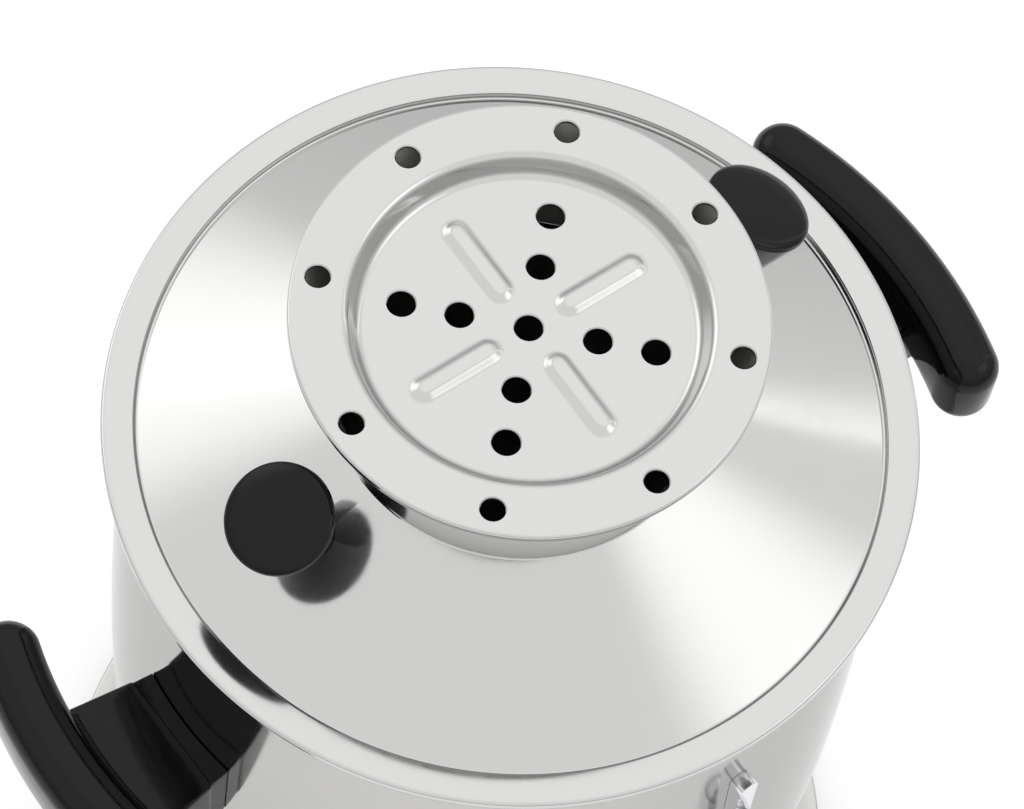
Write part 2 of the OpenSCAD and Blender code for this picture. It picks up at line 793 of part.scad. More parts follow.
module grip() {
    translate([grip_centre_x, 0, (grip_top_z + grip_low_z) / 2]) {
        rotate([0, 0, -grip_end_angle]) rotate_extrude(angle = 2 * grip_end_angle)
            translate([grip_arc_r, 0]) grip_section();
        for (side = [-1, 1])
            rotate([0, 0, side * grip_end_angle]) translate([grip_arc_r, 0, 0])
                rotate_extrude() intersection() {
                    grip_section();
                    translate([0, -grip_h]) square([grip_t, 2 * grip_h]);
                }
    }
}

// The bracket's plan flares towards the grip, and its underside rises.
module bracket() {
    intersection() {
        translate([0, 0, web_top_z - web_h]) linear_extrude(height = web_h)
            polygon([[web_root_x, -web_half_w], [belly_r, -web_half_w], [grip_mid_x, -web_tip_half_w],
                [grip_mid_x, web_tip_half_w], [belly_r, web_half_w], [web_root_x, web_half_w]]);
        rotate([90, 0, 0]) linear_extrude(height = 2 * grip_reach, center = true)
            polygon([[web_root_x, web_top_z - web_h], [belly_r, web_top_z - web_h],
                [grip_mid_x, web_top_z - web_tip_h], [grip_mid_x, web_top_z], [web_root_x, web_top_z]]);
    }
}

module bolt_places() {
    translate([0, 0, handle_bolt_z]) for (side = [-1, 1])
        translate([0, side * handle_bolt_half, 0]) children();
}

insert_x = belly_r + cut;
insert_end_x = insert_x + insert_l;

module handle_form() difference() {
    union() {
        grip();
        bracket();
    }
    barrel_solid(seat_gap);
    bolt_places() rod(web_root_x, insert_end_x, insert_r + run_gap);
}

module handle_right() color(BLACK) handle_form();

module handle_left() color(BLACK) rotate([0, 0, 180]) handle_form();

module both_sides() {
    for (angle = [0, 180])
        rotate([0, 0, angle]) children();
}

module handle_inserts() color(BRASS) both_sides() bolt_places()
    sleeve(insert_x, insert_end_x, insert_r, handle_bolt_r + run_gap);

bolt_seal_t = 2;
bolt_seal_w = 4;
bolt_seal_x = barrel_r(handle_bolt_z) - wall - bolt_seal_t - 2 * free_gap;
bolt_end_gap = 2;
bolt_head_h = 3;
bolt_head_w = 2.5;

module handle_seals() color(RUBBER) both_sides() intersection() {
    bolt_places()
        sleeve(bolt_seal_x, belly_r, handle_bolt_r + bolt_seal_w, handle_bolt_r + run_gap);
    barrel_solid(-wall - seat_gap);
}

module handle_bolts() color(CHROME) both_sides() bolt_places() {
    rod(bolt_seal_x, insert_end_x - bolt_end_gap, handle_bolt_r);
    rod(bolt_seal_x - bolt_head_h, bolt_seal_x, handle_bolt_r + bolt_head_w);
}

// Tap

tap_wall_r = barrel_r(tap_z);
plug_x = tap_wall_r + tap_reach;
tap_flange_x = barrel_r(tap_z + tap_flange_r) + tap_gasket_t;
tap_nut_t = 7;
tap_nut_w = 5;
tap_thread_end = 6;
tap_gasket_in = 1;
tap_inner_x = tap_wall_r - wall - tap_nut_t - tap_thread_end;
spout_turn_x = plug_x + spout_run;
spout_end_z = -spout_bend_r - spout_drop;

module spout(r, extra) {
    rod(plug_x, spout_turn_x, r);
    translate([spout_turn_x, 0, -spout_bend_r]) rotate([90, 0, 0])
        rotate_extrude(angle = 90) translate([spout_bend_r, 0]) circle(r = r);
    translate([spout_turn_x + spout_bend_r, 0, spout_end_z - extra])
        cylinder(h = spout_drop + extra, r = r);
}

module tap_body() color(CHROME) front(tap_z) difference() {
    union() {
        rod(tap_inner_x, plug_x, shank_r);
        rod(tap_flange_x, tap_flange_x + tap_flange_t, tap_flange_r);
        translate([plug_x, 0, -housing_half_h]) cylinder(h = 2 * housing_half_h, r = housing_r);
        spout(spout_r, 0);
    }
    rod(tap_inner_x - cut, plug_x, way_r);
    spout(way_r, cut);
    translate([plug_x, 0, -housing_half_h - cut])
        cylinder(h = 2 * (housing_half_h + cut), r = plug_r + run_gap);
}

module tap_gasket() color(RUBBER) front(tap_z) difference() {
    sleeve(tap_wall_r - trim, tap_flange_x, tap_flange_r - tap_gasket_in, shank_r + run_gap);
    translate([0, 0, -tap_z]) barrel_solid(seat_gap);
}

module tap_back_nut() color(BRASS) front(tap_z) intersection() {
    hex_rod(tap_wall_r - wall - tap_nut_t, tap_wall_r + trim, shank_r + tap_nut_w, shank_r + run_gap);
    translate([0, 0, -tap_z]) barrel_solid(-wall - seat_gap);
}

plug_stub_r = 4;
plug_head_z = housing_half_h + free_gap;
plug_head_h = 3;
plug_head_in = 0.5;
plug_stem_proud = 4;
plug_stub_end = 1;
plug_washer_in = 1;
plug_nut_w = 4;
lever_foot_in = 1;
lever_top_in = 3;
cap_h = 4.5;
cap_r = 6.5;
cap_dome_z = 4;
cap_dome_r = 5.2;
plug_stem_r = 4;
plug_washer_t = 1.5;
plug_low_z = -housing_half_h - free_gap;
plug_nut_h = 4.5;
plug_stub_l = plug_washer_t + plug_nut_h + plug_stub_end;
lever_z = plug_head_z + plug_head_h;
lever_top_z = lever_z + lever_hub_h;

module at_plug() front(tap_z) translate([plug_x, 0, 0]) children();

module tap_plug() color(BRASS) at_plug() difference() {
    union() {
        translate([0, 0, plug_low_z]) cylinder(h = plug_head_z - plug_low_z, r = plug_r);
        translate([0, 0, plug_head_z]) cylinder(h = plug_head_h, r = housing_r - plug_head_in);
        translate([0, 0, lever_z]) cylinder(h = lever_hub_h + plug_stem_proud, r = plug_stem_r);
        translate([0, 0, plug_low_z - plug_stub_l]) cylinder(h = plug_stub_l + eps, r = plug_stub_r);
    }
    rotate([0, 0, 90]) rod(-housing_r, housing_r, way_r);
}

module plug_washer() color(CHROME) at_plug()
    ring(plug_low_z - plug_washer_t, plug_low_z, housing_r - plug_washer_in, plug_stub_r + run_gap);

module plug_nut() color(CHROME) at_plug()
    hex_ring(plug_low_z - plug_washer_t - plug_nut_h, plug_low_z - plug_washer_t,
        plug_stub_r + plug_nut_w, plug_stub_r + run_gap);

module tap_lever() color(BLACK) at_plug() difference() {
    union() {
        translate([0, 0, lever_z])
            cylinder(h = lever_hub_h, r1 = housing_r - lever_foot_in, r2 = housing_r - lever_top_in);
        translate([0, 0, lever_z + lever_hub_h / 2]) rotate([0, 0, 90]) {
            rod(0, lever_l - lever_ball_r, lever_r);
            translate([lever_l - lever_ball_r, 0, 0]) sphere(r = lever_ball_r);
        }
    }
    translate([0, 0, lever_z - cut])
        cylinder(h = lever_hub_h + 2 * cut, r = plug_stem_r + run_gap);
}

module lever_cap() color(CHROME) at_plug() translate([0, 0, lever_top_z]) difference() {
    union() {
        cylinder(h = cap_h, r = cap_r, $fn = 6);
        translate([0, 0, cap_dome_z]) sphere(r = cap_dome_r);
    }
    translate([0, 0, -2 * cap_r]) cylinder(h = 2 * cap_r, r = 2 * cap_r);
    translate([0, 0, -cut])
        cylinder(h = plug_stem_proud + free_gap + cut, r = plug_stem_r + run_gap);
}

// Sight glass

gauge_x = belly_r + gauge_out;
gauge_top_z = brim_z - gauge_drop;
glass_bore_r = glass_r + run_gap;
glass_seat = 4;
glass_top_z = gauge_top_z + glass_seat;
glass_low_z = gauge_low_z - glass_seat;
fitting_thread_l = 11;
fitting_nut_t = 6;
fitting_nut_w = 3.5;
fitting_collar_w = 1.5;
fitting_wall = 1.8;
fitting_gasket_t = 1.5;
fitting_wall_r = max(barrel_r(gauge_top_z + fitting_r), barrel_r(gauge_low_z + fitting_r));
fitting_base_x = fitting_wall_r + fitting_gasket_t;
fitting_inner_x = barrel_r(gauge_low_z) - wall - fitting_thread_l;

module gauge_glass() color([0.85, 0.93, 0.95, 0.4]) front(0) translate([gauge_x, 0, 0])
    ring(glass_low_z, glass_top_z, glass_r, glass_r - glass_t);

// A tongue on the upper fitting lies along the barrel and steadies the glass.
tongue_w = 8;
tongue_l = 42;
tongue_t = 3;
tongue_low = 2;
tongue_back_x = barrel_r(gauge_top_z + tongue_l + tongue_w) - trim;
tongue_front_x = fitting_base_x + tongue_t;

module gauge_tongue() difference() {
    translate([tongue_back_x, 0, 0]) rotate([90, 0, 90])
        linear_extrude(height = tongue_front_x - tongue_back_x) {
            translate([-tongue_w / 2, tongue_low]) square([tongue_w, tongue_l - tongue_low]);
            translate([0, tongue_l]) circle(r = tongue_w / 2);
        }
    rod(tongue_back_x - cut, fitting_base_x + seat_gap, fitting_r + run_gap);
    translate([0, 0, -gauge_top_z]) barrel_solid(seat_gap);
}

// The fitting's long side faces the glass: up is 1 below the glass and -1 above it.
module fitting(up) difference() {
    union() {
        rod(fitting_inner_x, gauge_x, fitting_shank_r);
        rod(fitting_base_x, gauge_x, fitting_shank_r + fitting_collar_w);
        translate([gauge_x, 0, -fitting_half_h]) cylinder(h = 2 * fitting_half_h, r = fitting_r);
        translate([gauge_x, 0, -up * fitting_half_h]) sphere(r = fitting_r);
        if (up < 0)
            gauge_tongue();
    }
    rod(fitting_inner_x - cut, gauge_x, fitting_shank_r - fitting_wall);
    translate([gauge_x, 0, min(-glass_seat * up, up * bore_end)])
        cylinder(h = bore_end + glass_seat, r = glass_bore_r);
    translate([gauge_x, 0, min(seal_z0 * up, up * bore_end)])
        cylinder(h = bore_end - seal_z0, r = seal_r + run_gap);
}

fitting_lip = 1.2;
seal_h = 4;
seal_proud = 1;
seal_r = fitting_r - fitting_lip;
seal_z0 = fitting_half_h - seal_h;
bore_end = 2 * fitting_half_h;

module gauge_top_fitting() color(CHROME) front(gauge_top_z) fitting(-1);

module gauge_low_fitting() color(CHROME) front(gauge_low_z) fitting(1);

module gauge_seals() color(RUBBER) {
    front(gauge_top_z) translate([gauge_x, 0, 0])
        ring(-fitting_half_h - seal_proud, -seal_z0, seal_r, glass_bore_r);
    front(gauge_low_z) translate([gauge_x, 0, 0])
        ring(seal_z0, fitting_half_h + seal_proud, seal_r, glass_bore_r);
}

module gauge_gaskets() color(RUBBER) for (z = [gauge_top_z, gauge_low_z])
    front(z) difference() {
        sleeve(barrel_r(z) - trim, fitting_base_x, fitting_r, fitting_shank_r + run_gap);
        translate([0, 0, -z]) barrel_solid(seat_gap);
    }

module gauge_nuts() color(BRASS) for (z = [gauge_top_z, gauge_low_z])
    front(z) intersection() {
        hex_rod(barrel_r(z) - wall - fitting_nut_t, belly_r, fitting_shank_r + fitting_nut_w,
            fitting_shank_r + run_gap);
        translate([0, 0, -z]) barrel_solid(-wall - seat_gap);
    }

// Lid, neck and teapot stand

module lid_shell() color(STEEL) difference() {
    rotate_extrude()
        polygon([[brim_r, brim_z], [brim_inner_r, brim_z], [step_r, brim_z - step_h],
            [neck_bore_r, cone_z(neck_bore_r)], [neck_bore_r, cone_z(neck_bore_r) - cone_t],
            [step_r, brim_z - step_h - cone_t], [step_r + sheet, brim_z - step_h],
            [brim_inner_r + sheet, lid_under_z], [brim_r, lid_under_z]]);
    knob_places() translate([0, 0, -2 * trim]) cylinder(h = 4 * trim, r = knob_screw_r + hole_gap);
}

// The neck leaves the cone upright and flares out to the rim that carries the stand.
neck_rim_z = neck_top_z - neck_rim_h;
neck_foot = [neck_r, cone_z(neck_r) + seat_gap];
neck_bend = [neck_r, (cone_z(neck_r) + neck_rim_z) / 2];
neck_shoulder = [neck_top_r, neck_rim_z];
function neck_wall(i) = let (t = i / flare_steps)
    pow(1 - t, 2) * neck_foot + 2 * t * (1 - t) * neck_bend + t * t * neck_shoulder;

module lid_neck() color(STEEL) rotate_extrude()
    polygon(concat([for (i = [0:flare_steps]) neck_wall(i)],
        [[neck_top_r, neck_top_z], [neck_top_r - sheet, neck_top_z]],
        [for (i = [flare_steps:-1:1]) neck_wall(i) - [sheet, 0]],
        [[neck_bore_r, cone_z(neck_bore_r) + seat_gap]]));

stand_top_z = neck_top_z + sheet;
dish_z = stand_top_z - dish_h;
punch_l = dish_h + sheet + 2 * cut;

module crown_plate() color(STEEL) difference() {
    union() {
        rotate_extrude()
            polygon([[stand_r, stand_top_z], [dish_r, stand_top_z], [dish_floor_r, dish_z],
                [0, dish_z], [0, dish_z - sheet], [dish_floor_r + sheet, dish_z - sheet],
                [dish_r + sheet, neck_top_z], [stand_r - sheet, neck_top_z],
                [stand_r - sheet, stand_top_z - stand_lip], [stand_r, stand_top_z - stand_lip]]);
        for (angle = quarter_angles)
            rotate([0, 0, stand_turn + angle]) rib();
    }
    translate([0, 0, dish_z - sheet - cut]) rotate([0, 0, stand_turn]) {
        around(ring_hole_circle_r, ring_angles) cylinder(h = punch_l, r = ring_hole_r);
        around(dish_hole_inner_r, arm_angles) cylinder(h = punch_l, r = dish_hole_r);
        around(dish_hole_outer_r, arm_angles) cylinder(h = punch_l, r = dish_hole_r);
        cylinder(h = punch_l, r = dish_hole_r);
    }
}

module rib() {
    start = rib_start + rib_w / 2;
    end = rib_end - rib_w / 2;
    translate([0, 0, dish_z - eps]) {
        translate([start, -rib_w / 2, 0]) cube([end - start, rib_w, rib_h + eps]);
        for (x = [start, end])
            translate([x, 0, 0]) cylinder(h = rib_h + eps, r = rib_w / 2);
    }
}

// Lid knobs stand square to the cone.
knob_screw_r = 2;
knob_screw_in = 14;
knob_washer_t = 1;
knob_washer_r = 5;
knob_head_h = 2.5;
knob_head_r = 4;
knob_under = sheet + seat_gap;
knob_round = 0.5;
knob_flank_z = knob_h - knob_dome_h - knob_edge_t;
knob_dome_z = knob_h - knob_dome_h;

module knob_place() {
    translate([knob_foot_r, 0, cone_z(knob_foot_r)]) rotate([0, cone_slope, 0]) children();
}

module knob_places() {
    both_sides() knob_place() children();
}

module knob_form() knob_place() difference() {
    rotate_extrude()
        polygon(concat([[0, seat_gap], [knob_base_r, seat_gap],
            [knob_r - knob_round, knob_flank_z], [knob_r, knob_dome_z - knob_edge_t / 2]],
            [for (turn = [0:15:90])
                [(knob_r - knob_round) * cos(turn), knob_dome_z + knob_dome_h * sin(turn)]]));
    cylinder(h = knob_screw_in + cut, r = knob_screw_r + run_gap);
}

module knob_right() color(BLACK) knob_form();

module knob_left() color(BLACK) rotate([0, 0, 180]) knob_form();

module knob_washers() color(CHROME) knob_places()
    ring(-knob_under - knob_washer_t, -knob_under, knob_washer_r, knob_screw_r + run_gap);

module knob_screws() color(CHROME) knob_places() {
    head_z = -knob_under - knob_washer_t;
    translate([0, 0, head_z]) cylinder(h = knob_screw_in - head_z, r = knob_screw_r);
    translate([0, 0, head_z - knob_head_h]) cylinder(h = knob_head_h, r = knob_head_r);
}

body_shell();
lower_shell();
inlet_panel();
tank_floor();
base_skirt();
base_cover();
pillars();
waist_screws();
cover_screws();
feet();
foot_screws();
foot_nuts();
heater_element();
heater_bushes();
heater_seals();
heater_nuts();
heat_limiter();
thermostat();
dial_seat();
bush_nut();
dial_shaft();
dial_knob();
lamp_bezel();
lamp_lens();
inlet_socket();
inlet_pins();
inlet_screws();
wiring();
handle_left();
handle_right();
handle_inserts();
handle_bolts();
handle_seals();
tap_body();
tap_gasket();
tap_back_nut();
tap_plug();
plug_washer();
plug_nut();
tap_lever();
lever_cap();
gauge_glass();
gauge_top_fitting();
gauge_low_fitting();
gauge_seals();
gauge_gaskets();
gauge_nuts();
lid_shell();
lid_neck();
knob_left();
knob_right();
knob_screws();
knob_washers();
crown_plate();
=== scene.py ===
# %% [markdown]
# # A polished steel samovar
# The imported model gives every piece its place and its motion. This lesson dresses it: thin sheet
# metal is turned again with real thickness and rounded edges, black handles get their moulded
# form, and every surface gets the finish that its maker gave it.

# %% Load the frame
import json
import math

import bmesh
import bpy
from mathutils import Matrix, Vector


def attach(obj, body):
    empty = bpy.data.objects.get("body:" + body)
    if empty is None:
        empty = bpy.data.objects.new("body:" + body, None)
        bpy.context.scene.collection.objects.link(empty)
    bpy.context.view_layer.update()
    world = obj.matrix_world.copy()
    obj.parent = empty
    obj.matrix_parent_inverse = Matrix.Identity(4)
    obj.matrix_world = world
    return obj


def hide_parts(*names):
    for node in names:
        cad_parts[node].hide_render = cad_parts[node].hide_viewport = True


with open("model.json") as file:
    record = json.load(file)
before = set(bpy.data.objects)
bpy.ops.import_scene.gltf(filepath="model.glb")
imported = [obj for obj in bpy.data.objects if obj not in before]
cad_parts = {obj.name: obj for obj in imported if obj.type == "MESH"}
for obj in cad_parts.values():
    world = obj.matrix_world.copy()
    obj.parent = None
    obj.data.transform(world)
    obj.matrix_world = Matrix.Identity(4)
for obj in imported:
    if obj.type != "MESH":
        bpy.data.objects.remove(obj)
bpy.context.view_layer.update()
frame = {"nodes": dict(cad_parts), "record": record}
scene = bpy.context.scene
MM = 0.001

# %% [markdown]
# ## Camera
# The photograph looks down on the lid from about 63 degrees with a long lens, and the camera is
# tipped a little to one side. Azimuth, elevation, roll, distance and lens were fitted to the round
# brim and to the holes of the stand, so they are set here as plain numbers.

# %% Camera
VIEW_AZIMUTH = math.radians(-45.8)
VIEW_ELEVATION = math.radians(63.493)
VIEW_ROLL = math.radians(9.539)
VIEW_DISTANCE = 1673.0 * MM
VIEW_TARGET = Vector((3.95, 5.59, 395.0)) * MM
VIEW_LENS = 172.44
VIEW_SENSOR = 36

back = Vector((
    math.sin(VIEW_AZIMUTH) * math.cos(VIEW_ELEVATION),
    -math.cos(VIEW_AZIMUTH) * math.cos(VIEW_ELEVATION),
    math.sin(VIEW_ELEVATION),
))
level = Vector((0, 0, 1)).cross(back).normalized()
upright = back.cross(level)
right = math.cos(VIEW_ROLL) * level + math.sin(VIEW_ROLL) * upright
top = math.cos(VIEW_ROLL) * upright - math.sin(VIEW_ROLL) * level

camera_data = bpy.data.cameras.new("camera")
camera_data.sensor_fit = "HORIZONTAL"
camera_data.sensor_width = VIEW_SENSOR
camera_data.lens = VIEW_LENS
camera = bpy.data.objects.new("camera", camera_data)
camera.matrix_world = Matrix((right, top, back)).transposed().to_4x4()
camera.location = VIEW_TARGET + VIEW_DISTANCE * back
scene.collection.objects.link(camera)
scene.camera = camera
print("camera at", [round(v, 3) for v in camera.location])

# %% [markdown]
# ## Helpers for materials
# A colour is written as the hex value that an eye-dropper would read, and turned to linear light
# once. One small function adds a node, sets its values and links its sockets, so each material
# below reads as a short recipe.

# %% Colour and node helpers
def linear(hex_colour, alpha=1.0):
    """An sRGB hex colour as linear light."""
    parts = [int(hex_colour[i:i + 2], 16) / 255 for i in (1, 3, 5)]
    return tuple(p / 12.92 if p <= 0.04045 else ((p + 0.055) / 1.055) ** 2.4 for p in parts) + (alpha,)


def add(tree, kind, links=None, **settings):
    """Adds a node with its settings. links gives each input a value or another node's output."""
    item = tree.nodes.new(kind)
    for key, value in settings.items():
        setattr(item, key, value)
    for socket, value in (links or {}).items():
        if isinstance(value, bpy.types.NodeSocket):
            tree.links.new(value, item.inputs[socket])
        else:
            item.inputs[socket].default_value = value
    return item


def new_finish(name, colour, metallic, roughness, ior=1.5, gloss=0.5):
    """A material with its main shader set, ready for the pattern nodes. Returns it and the shader."""
    material = bpy.data.materials.new(name)
    material.use_nodes = True
    shader = material.node_tree.nodes["Principled BSDF"]
    shader.inputs["Base Color"].default_value = linear(colour)
    shader.inputs["Metallic"].default_value = metallic
    shader.inputs["Roughness"].default_value = roughness
    shader.inputs["IOR"].default_value = ior
    shader.inputs["Specular IOR Level"].default_value = gloss
    return material, material.node_tree, shader


def per_mm(size):
    """The texture scale at which a pattern repeats every size millimetres."""
    return 1 / (size * MM)


print("white in linear light:", linear("#ffffff")[:3])

# %% [markdown]
# ## Polished stainless steel
# The barrel, base, lid and stand are spun from stainless sheet and polished with a mop while they
# turn. The mop leaves a mirror with very fine rings round the axis, and wiping leaves faint clouds.
# A ring pattern can come from a turned texture or from the distance to the axis. The distance
# follows every piece of this samovar, because they all share one axis.

# %% Polished stainless steel
POLISH_LINE_MM = 0.9       # real polishing lines are finer; these are as coarse as the picture needs
POLISH_ROUND_MM = 4        # how far the pattern drifts on the way round the axis
POLISH_CLOUD_MM = 70
POLISH_HAZE_MM = 9
POLISH_DEPTH_MM = 0.02


def polished(name, colour, dull, bright, edge="#ffffff"):
    """A spun and polished metal: fine rings, a soft haze and wiped clouds between two roughnesses."""
    material, tree, shader = new_finish(name, colour, 1.0, dull)
    shader.inputs["Specular Tint"].default_value = linear(edge)
    place = add(tree, "ShaderNodeTexCoord").outputs["Object"]
    flat = add(tree, "ShaderNodeVectorMath", {0: place, 1: (1, 1, 0)}, operation="MULTIPLY")
    reach = add(tree, "ShaderNodeVectorMath", {0: flat.outputs[0]}, operation="LENGTH")
    height = add(tree, "ShaderNodeSeparateXYZ", {0: place})
    turn = add(tree, "ShaderNodeVectorMath", {0: flat.outputs[0]}, operation="NORMALIZE")
    turn_xy = add(tree, "ShaderNodeSeparateXYZ", {0: turn.outputs[0]})
    short, across = (add(tree, "ShaderNodeMath", {0: turn_xy.outputs[i], 1: POLISH_ROUND_MM * MM},
                         operation="MULTIPLY") for i in (0, 1))
    ring_place = add(tree, "ShaderNodeCombineXYZ",
                     {0: reach.outputs["Value"], 1: height.outputs[2], 2: short.outputs[0]})
    rings = add(tree, "ShaderNodeTexNoise",
                {"Vector": ring_place.outputs[0], "W": across.outputs[0],
                 "Scale": per_mm(POLISH_LINE_MM), "Detail": 3.0}, noise_dimensions="4D")
    clouds = add(tree, "ShaderNodeTexNoise",
                 {"Vector": place, "Scale": per_mm(POLISH_CLOUD_MM), "Detail": 4.0, "Roughness": 0.6})
    haze = add(tree, "ShaderNodeTexNoise",
               {"Vector": place, "Scale": per_mm(POLISH_HAZE_MM), "Detail": 5.0, "Roughness": 0.7})
    wear = add(tree, "ShaderNodeMath", {0: clouds.outputs[0], 1: haze.outputs[0]}, operation="MULTIPLY")
    wear_span = add(tree, "ShaderNodeMapRange",
                    {"Value": wear.outputs[0], "From Min": 0.1, "From Max": 0.45,
                     "To Min": bright, "To Max": dull})
    tree.links.new(wear_span.outputs[0], shader.inputs["Roughness"])
    bump = add(tree, "ShaderNodeBump",
               {"Height": rings.outputs[0], "Strength": 0.06, "Distance": POLISH_DEPTH_MM * MM})
    tree.links.new(bump.outputs[0], shader.inputs["Normal"])
    return material


FINISHES = {
    "polished_steel": polished("stainless_steel_mop_polished", "#c7c7c6", 0.15, 0.07),
    # The barrel and base take a darker copy of the polished steel, with a greyer edge tint: painted
    # shade for the shaded floor that their walls reflect.
    "painted_shade_barrel_steel": polished("stainless_steel_polished_painted_shade", "#c4c3c1", 0.14, 0.07, "#dcdcdc"),
    "chrome": polished("chrome_plate_bright", "#dcdde0", 0.07, 0.03),
}
print("metals made:", list(FINISHES))

# %% [markdown]
# ## Plain metals inside and underneath
# The tank floor, the cover and the inside of tank and neck keep the mill's dull rolled surface. The
# fasteners are zinc plated, the nuts and bushes are turned brass, and the heater's tube is tinted by
# heat. Each is the same kind of shader with a grain of its own size, so one recipe takes the name,
# colours, grain and roughness.

# %% Mill, zinc, brass and heater metals
def grained_metal(name, light, dark, grain_mm, rough):
    """A metal whose colour and roughness vary with one grain."""
    material, tree, shader = new_finish(name, light, 1.0, rough)
    place = add(tree, "ShaderNodeTexCoord").outputs["Object"]
    grain = add(tree, "ShaderNodeTexNoise",
                {"Vector": place, "Scale": per_mm(grain_mm), "Detail": 6.0, "Roughness": 0.65})
    tint = add(tree, "ShaderNodeMix",
               {"Factor": grain.outputs[0], 6: linear(dark), 7: linear(light)}, data_type="RGBA")
    span = add(tree, "ShaderNodeMapRange",
               {"Value": grain.outputs[0], "To Min": rough * 0.7, "To Max": rough * 1.4})
    bump = add(tree, "ShaderNodeBump",
               {"Height": grain.outputs[0], "Strength": 0.1, "Distance": 0.05 * MM})
    tree.links.new(tint.outputs[2], shader.inputs["Base Color"])
    tree.links.new(span.outputs[0], shader.inputs["Roughness"])
    tree.links.new(bump.outputs[0], shader.inputs["Normal"])
    return material


FINISHES.update(
    satin_steel=grained_metal("stainless_steel_mill_finish", "#bdbcb8", "#a5a4a0", 2.5, 0.32),
    unpolished_steel=grained_metal("stainless_steel_unpolished", "#ecece8", "#d6d6d2", 2.5, 0.8),
    fastener_steel=grained_metal("steel_zinc_plated", "#c3c5c9", "#a9abb0", 1.2, 0.26),
    brass=grained_metal("brass_turned", "#cfae6c", "#b08d4c", 1.5, 0.24),
    heater_alloy=grained_metal("heater_tube_heat_tinted", "#7d756c", "#4c4642", 14, 0.38),
)
print("plain metals made:", len(FINISHES))

# %% [markdown]
# ## Black mouldings, rubber and ceramic
# The knobs and handles are phenolic resin, pressed in a polished mould: nearly black, glossy, with a
# very slight orange-peel and dulled patches where hands rub. The dial and inlet are grained plastic,
# the feet and gaskets rubber, and the thermostat's case is steatite. These are all non-metals that
# differ in colour, gloss and grain.

# %% Mouldings
WEAR_PATCH_MM = 28


def moulded(name, dark, light, grain_mm, dull, bright, ior, depth_mm, gloss=0.5):
    """A moulded non-metal: a grain in the surface and worn patches between two roughnesses."""
    material, tree, shader = new_finish(name, dark, 0.0, dull, ior, gloss)
    place = add(tree, "ShaderNodeTexCoord").outputs["Object"]
    grain = add(tree, "ShaderNodeTexNoise",
                {"Vector": place, "Scale": per_mm(grain_mm), "Detail": 3.0})
    patches = add(tree, "ShaderNodeTexNoise",
                  {"Vector": place, "Scale": per_mm(WEAR_PATCH_MM), "Detail": 5.0, "Roughness": 0.62})
    tint = add(tree, "ShaderNodeMix",
               {"Factor": patches.outputs[0], 6: linear(dark), 7: linear(light)}, data_type="RGBA")
    span = add(tree, "ShaderNodeMapRange",
               {"Value": patches.outputs[0], "From Min": 0.3, "From Max": 0.7,
                "To Min": bright, "To Max": dull})
    bump = add(tree, "ShaderNodeBump",
               {"Height": grain.outputs[0], "Strength": 0.15, "Distance": depth_mm * MM})
    tree.links.new(tint.outputs[2], shader.inputs["Base Color"])
    tree.links.new(span.outputs[0], shader.inputs["Roughness"])
    tree.links.new(bump.outputs[0], shader.inputs["Normal"])
    return material


FINISHES.update(
    black_phenolic=moulded("phenolic_black_polished", "#070708", "#0b0b0c", 6, 0.12, 0.06, 1.5,
                           0.02, gloss=0.23),
    black_plastic=moulded("abs_black_grained", "#161617", "#1f1f20", 0.8, 0.48, 0.36, 1.53, 0.12),
    rubber=moulded("rubber_moulded", "#1b1b1c", "#272727", 1.4, 0.82, 0.66, 1.52, 0.1),
    ceramic=moulded("steatite_fired", "#d8d2c2", "#e3decf", 1.0, 0.6, 0.45, 1.6, 0.06),
    wire_sleeve=moulded("glass_braid_sleeve", "#cbbf9f", "#d9cfb4", 0.7, 0.85, 0.7, 1.5, 0.2),
)
print("mouldings made:", len(FINISHES))

# %% [markdown]
# ## Glass and the lamp's lens
# The sight glass is a drawn borosilicate tube: clear, with very faint draw lines along its length.
# The pilot lamp has a clear red lens. Both let light through, so transmission does the work and the
# pattern only ruffles the surface.

# %% Glass and lens
def clear(name, colour, ior, line_mm, along):
    """A clear material with faint lines: along stretches the pattern down the Z axis."""
    material, tree, shader = new_finish(name, colour, 0.0, 0.02, ior)
    shader.inputs["Transmission Weight"].default_value = 1.0
    place = add(tree, "ShaderNodeTexCoord").outputs["Object"]
    stretched = add(tree, "ShaderNodeMapping", {"Vector": place, "Scale": (1, 1, 1 / along)})
    lines = add(tree, "ShaderNodeTexNoise",
                {"Vector": stretched.outputs[0], "Scale": per_mm(line_mm), "Detail": 2.0})
    span = add(tree, "ShaderNodeMapRange",
               {"Value": lines.outputs[0], "To Min": 0.01, "To Max": 0.05})
    bump = add(tree, "ShaderNodeBump",
               {"Height": lines.outputs[0], "Strength": 0.1, "Distance": 0.02 * MM})
    tree.links.new(span.outputs[0], shader.inputs["Roughness"])
    tree.links.new(bump.outputs[0], shader.inputs["Normal"])
    return material


FINISHES.update(
    glass=clear("borosilicate_drawn_tube", "#eef6f4", 1.47, 1.5, 40),
    red_lens=clear("polycarbonate_red_lens", "#c2140c", 1.58, 1.2, 1),
)
print("finishes in all:", len(FINISHES))

# %% [markdown]
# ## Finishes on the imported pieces
# Small fittings, screws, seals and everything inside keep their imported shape. Each takes the finish
# of the material slot that the record gives it.

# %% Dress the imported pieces
for part in frame["record"]["subparts"]:
    node = frame["nodes"][part["node"]]
    for place in node.material_slots:
        place.material = FINISHES[part["material_slot"]]

# %% [markdown]
# ## Helpers for turned sheet metal
# A spun shell is an outline turned round the axis. Real sheet has no sharp corners, so the outline is
# given as corners with a bend radius each, and a helper lays an arc into every corner. Closing the
# outline on itself gives the sheet its true thickness.

# %% Outline, turning and finishing helpers
BEND_STEPS = 6
TURN_STEPS = 256
ROD_SIDES = 48
SHARED_EDGE = 0.48       # how much of an edge a bend may take when the other end is bent too
FREE_EDGE = 0.98         # and when it isn't
MERGE = 0.01 * MM
SLIVER = 0.002 * MM


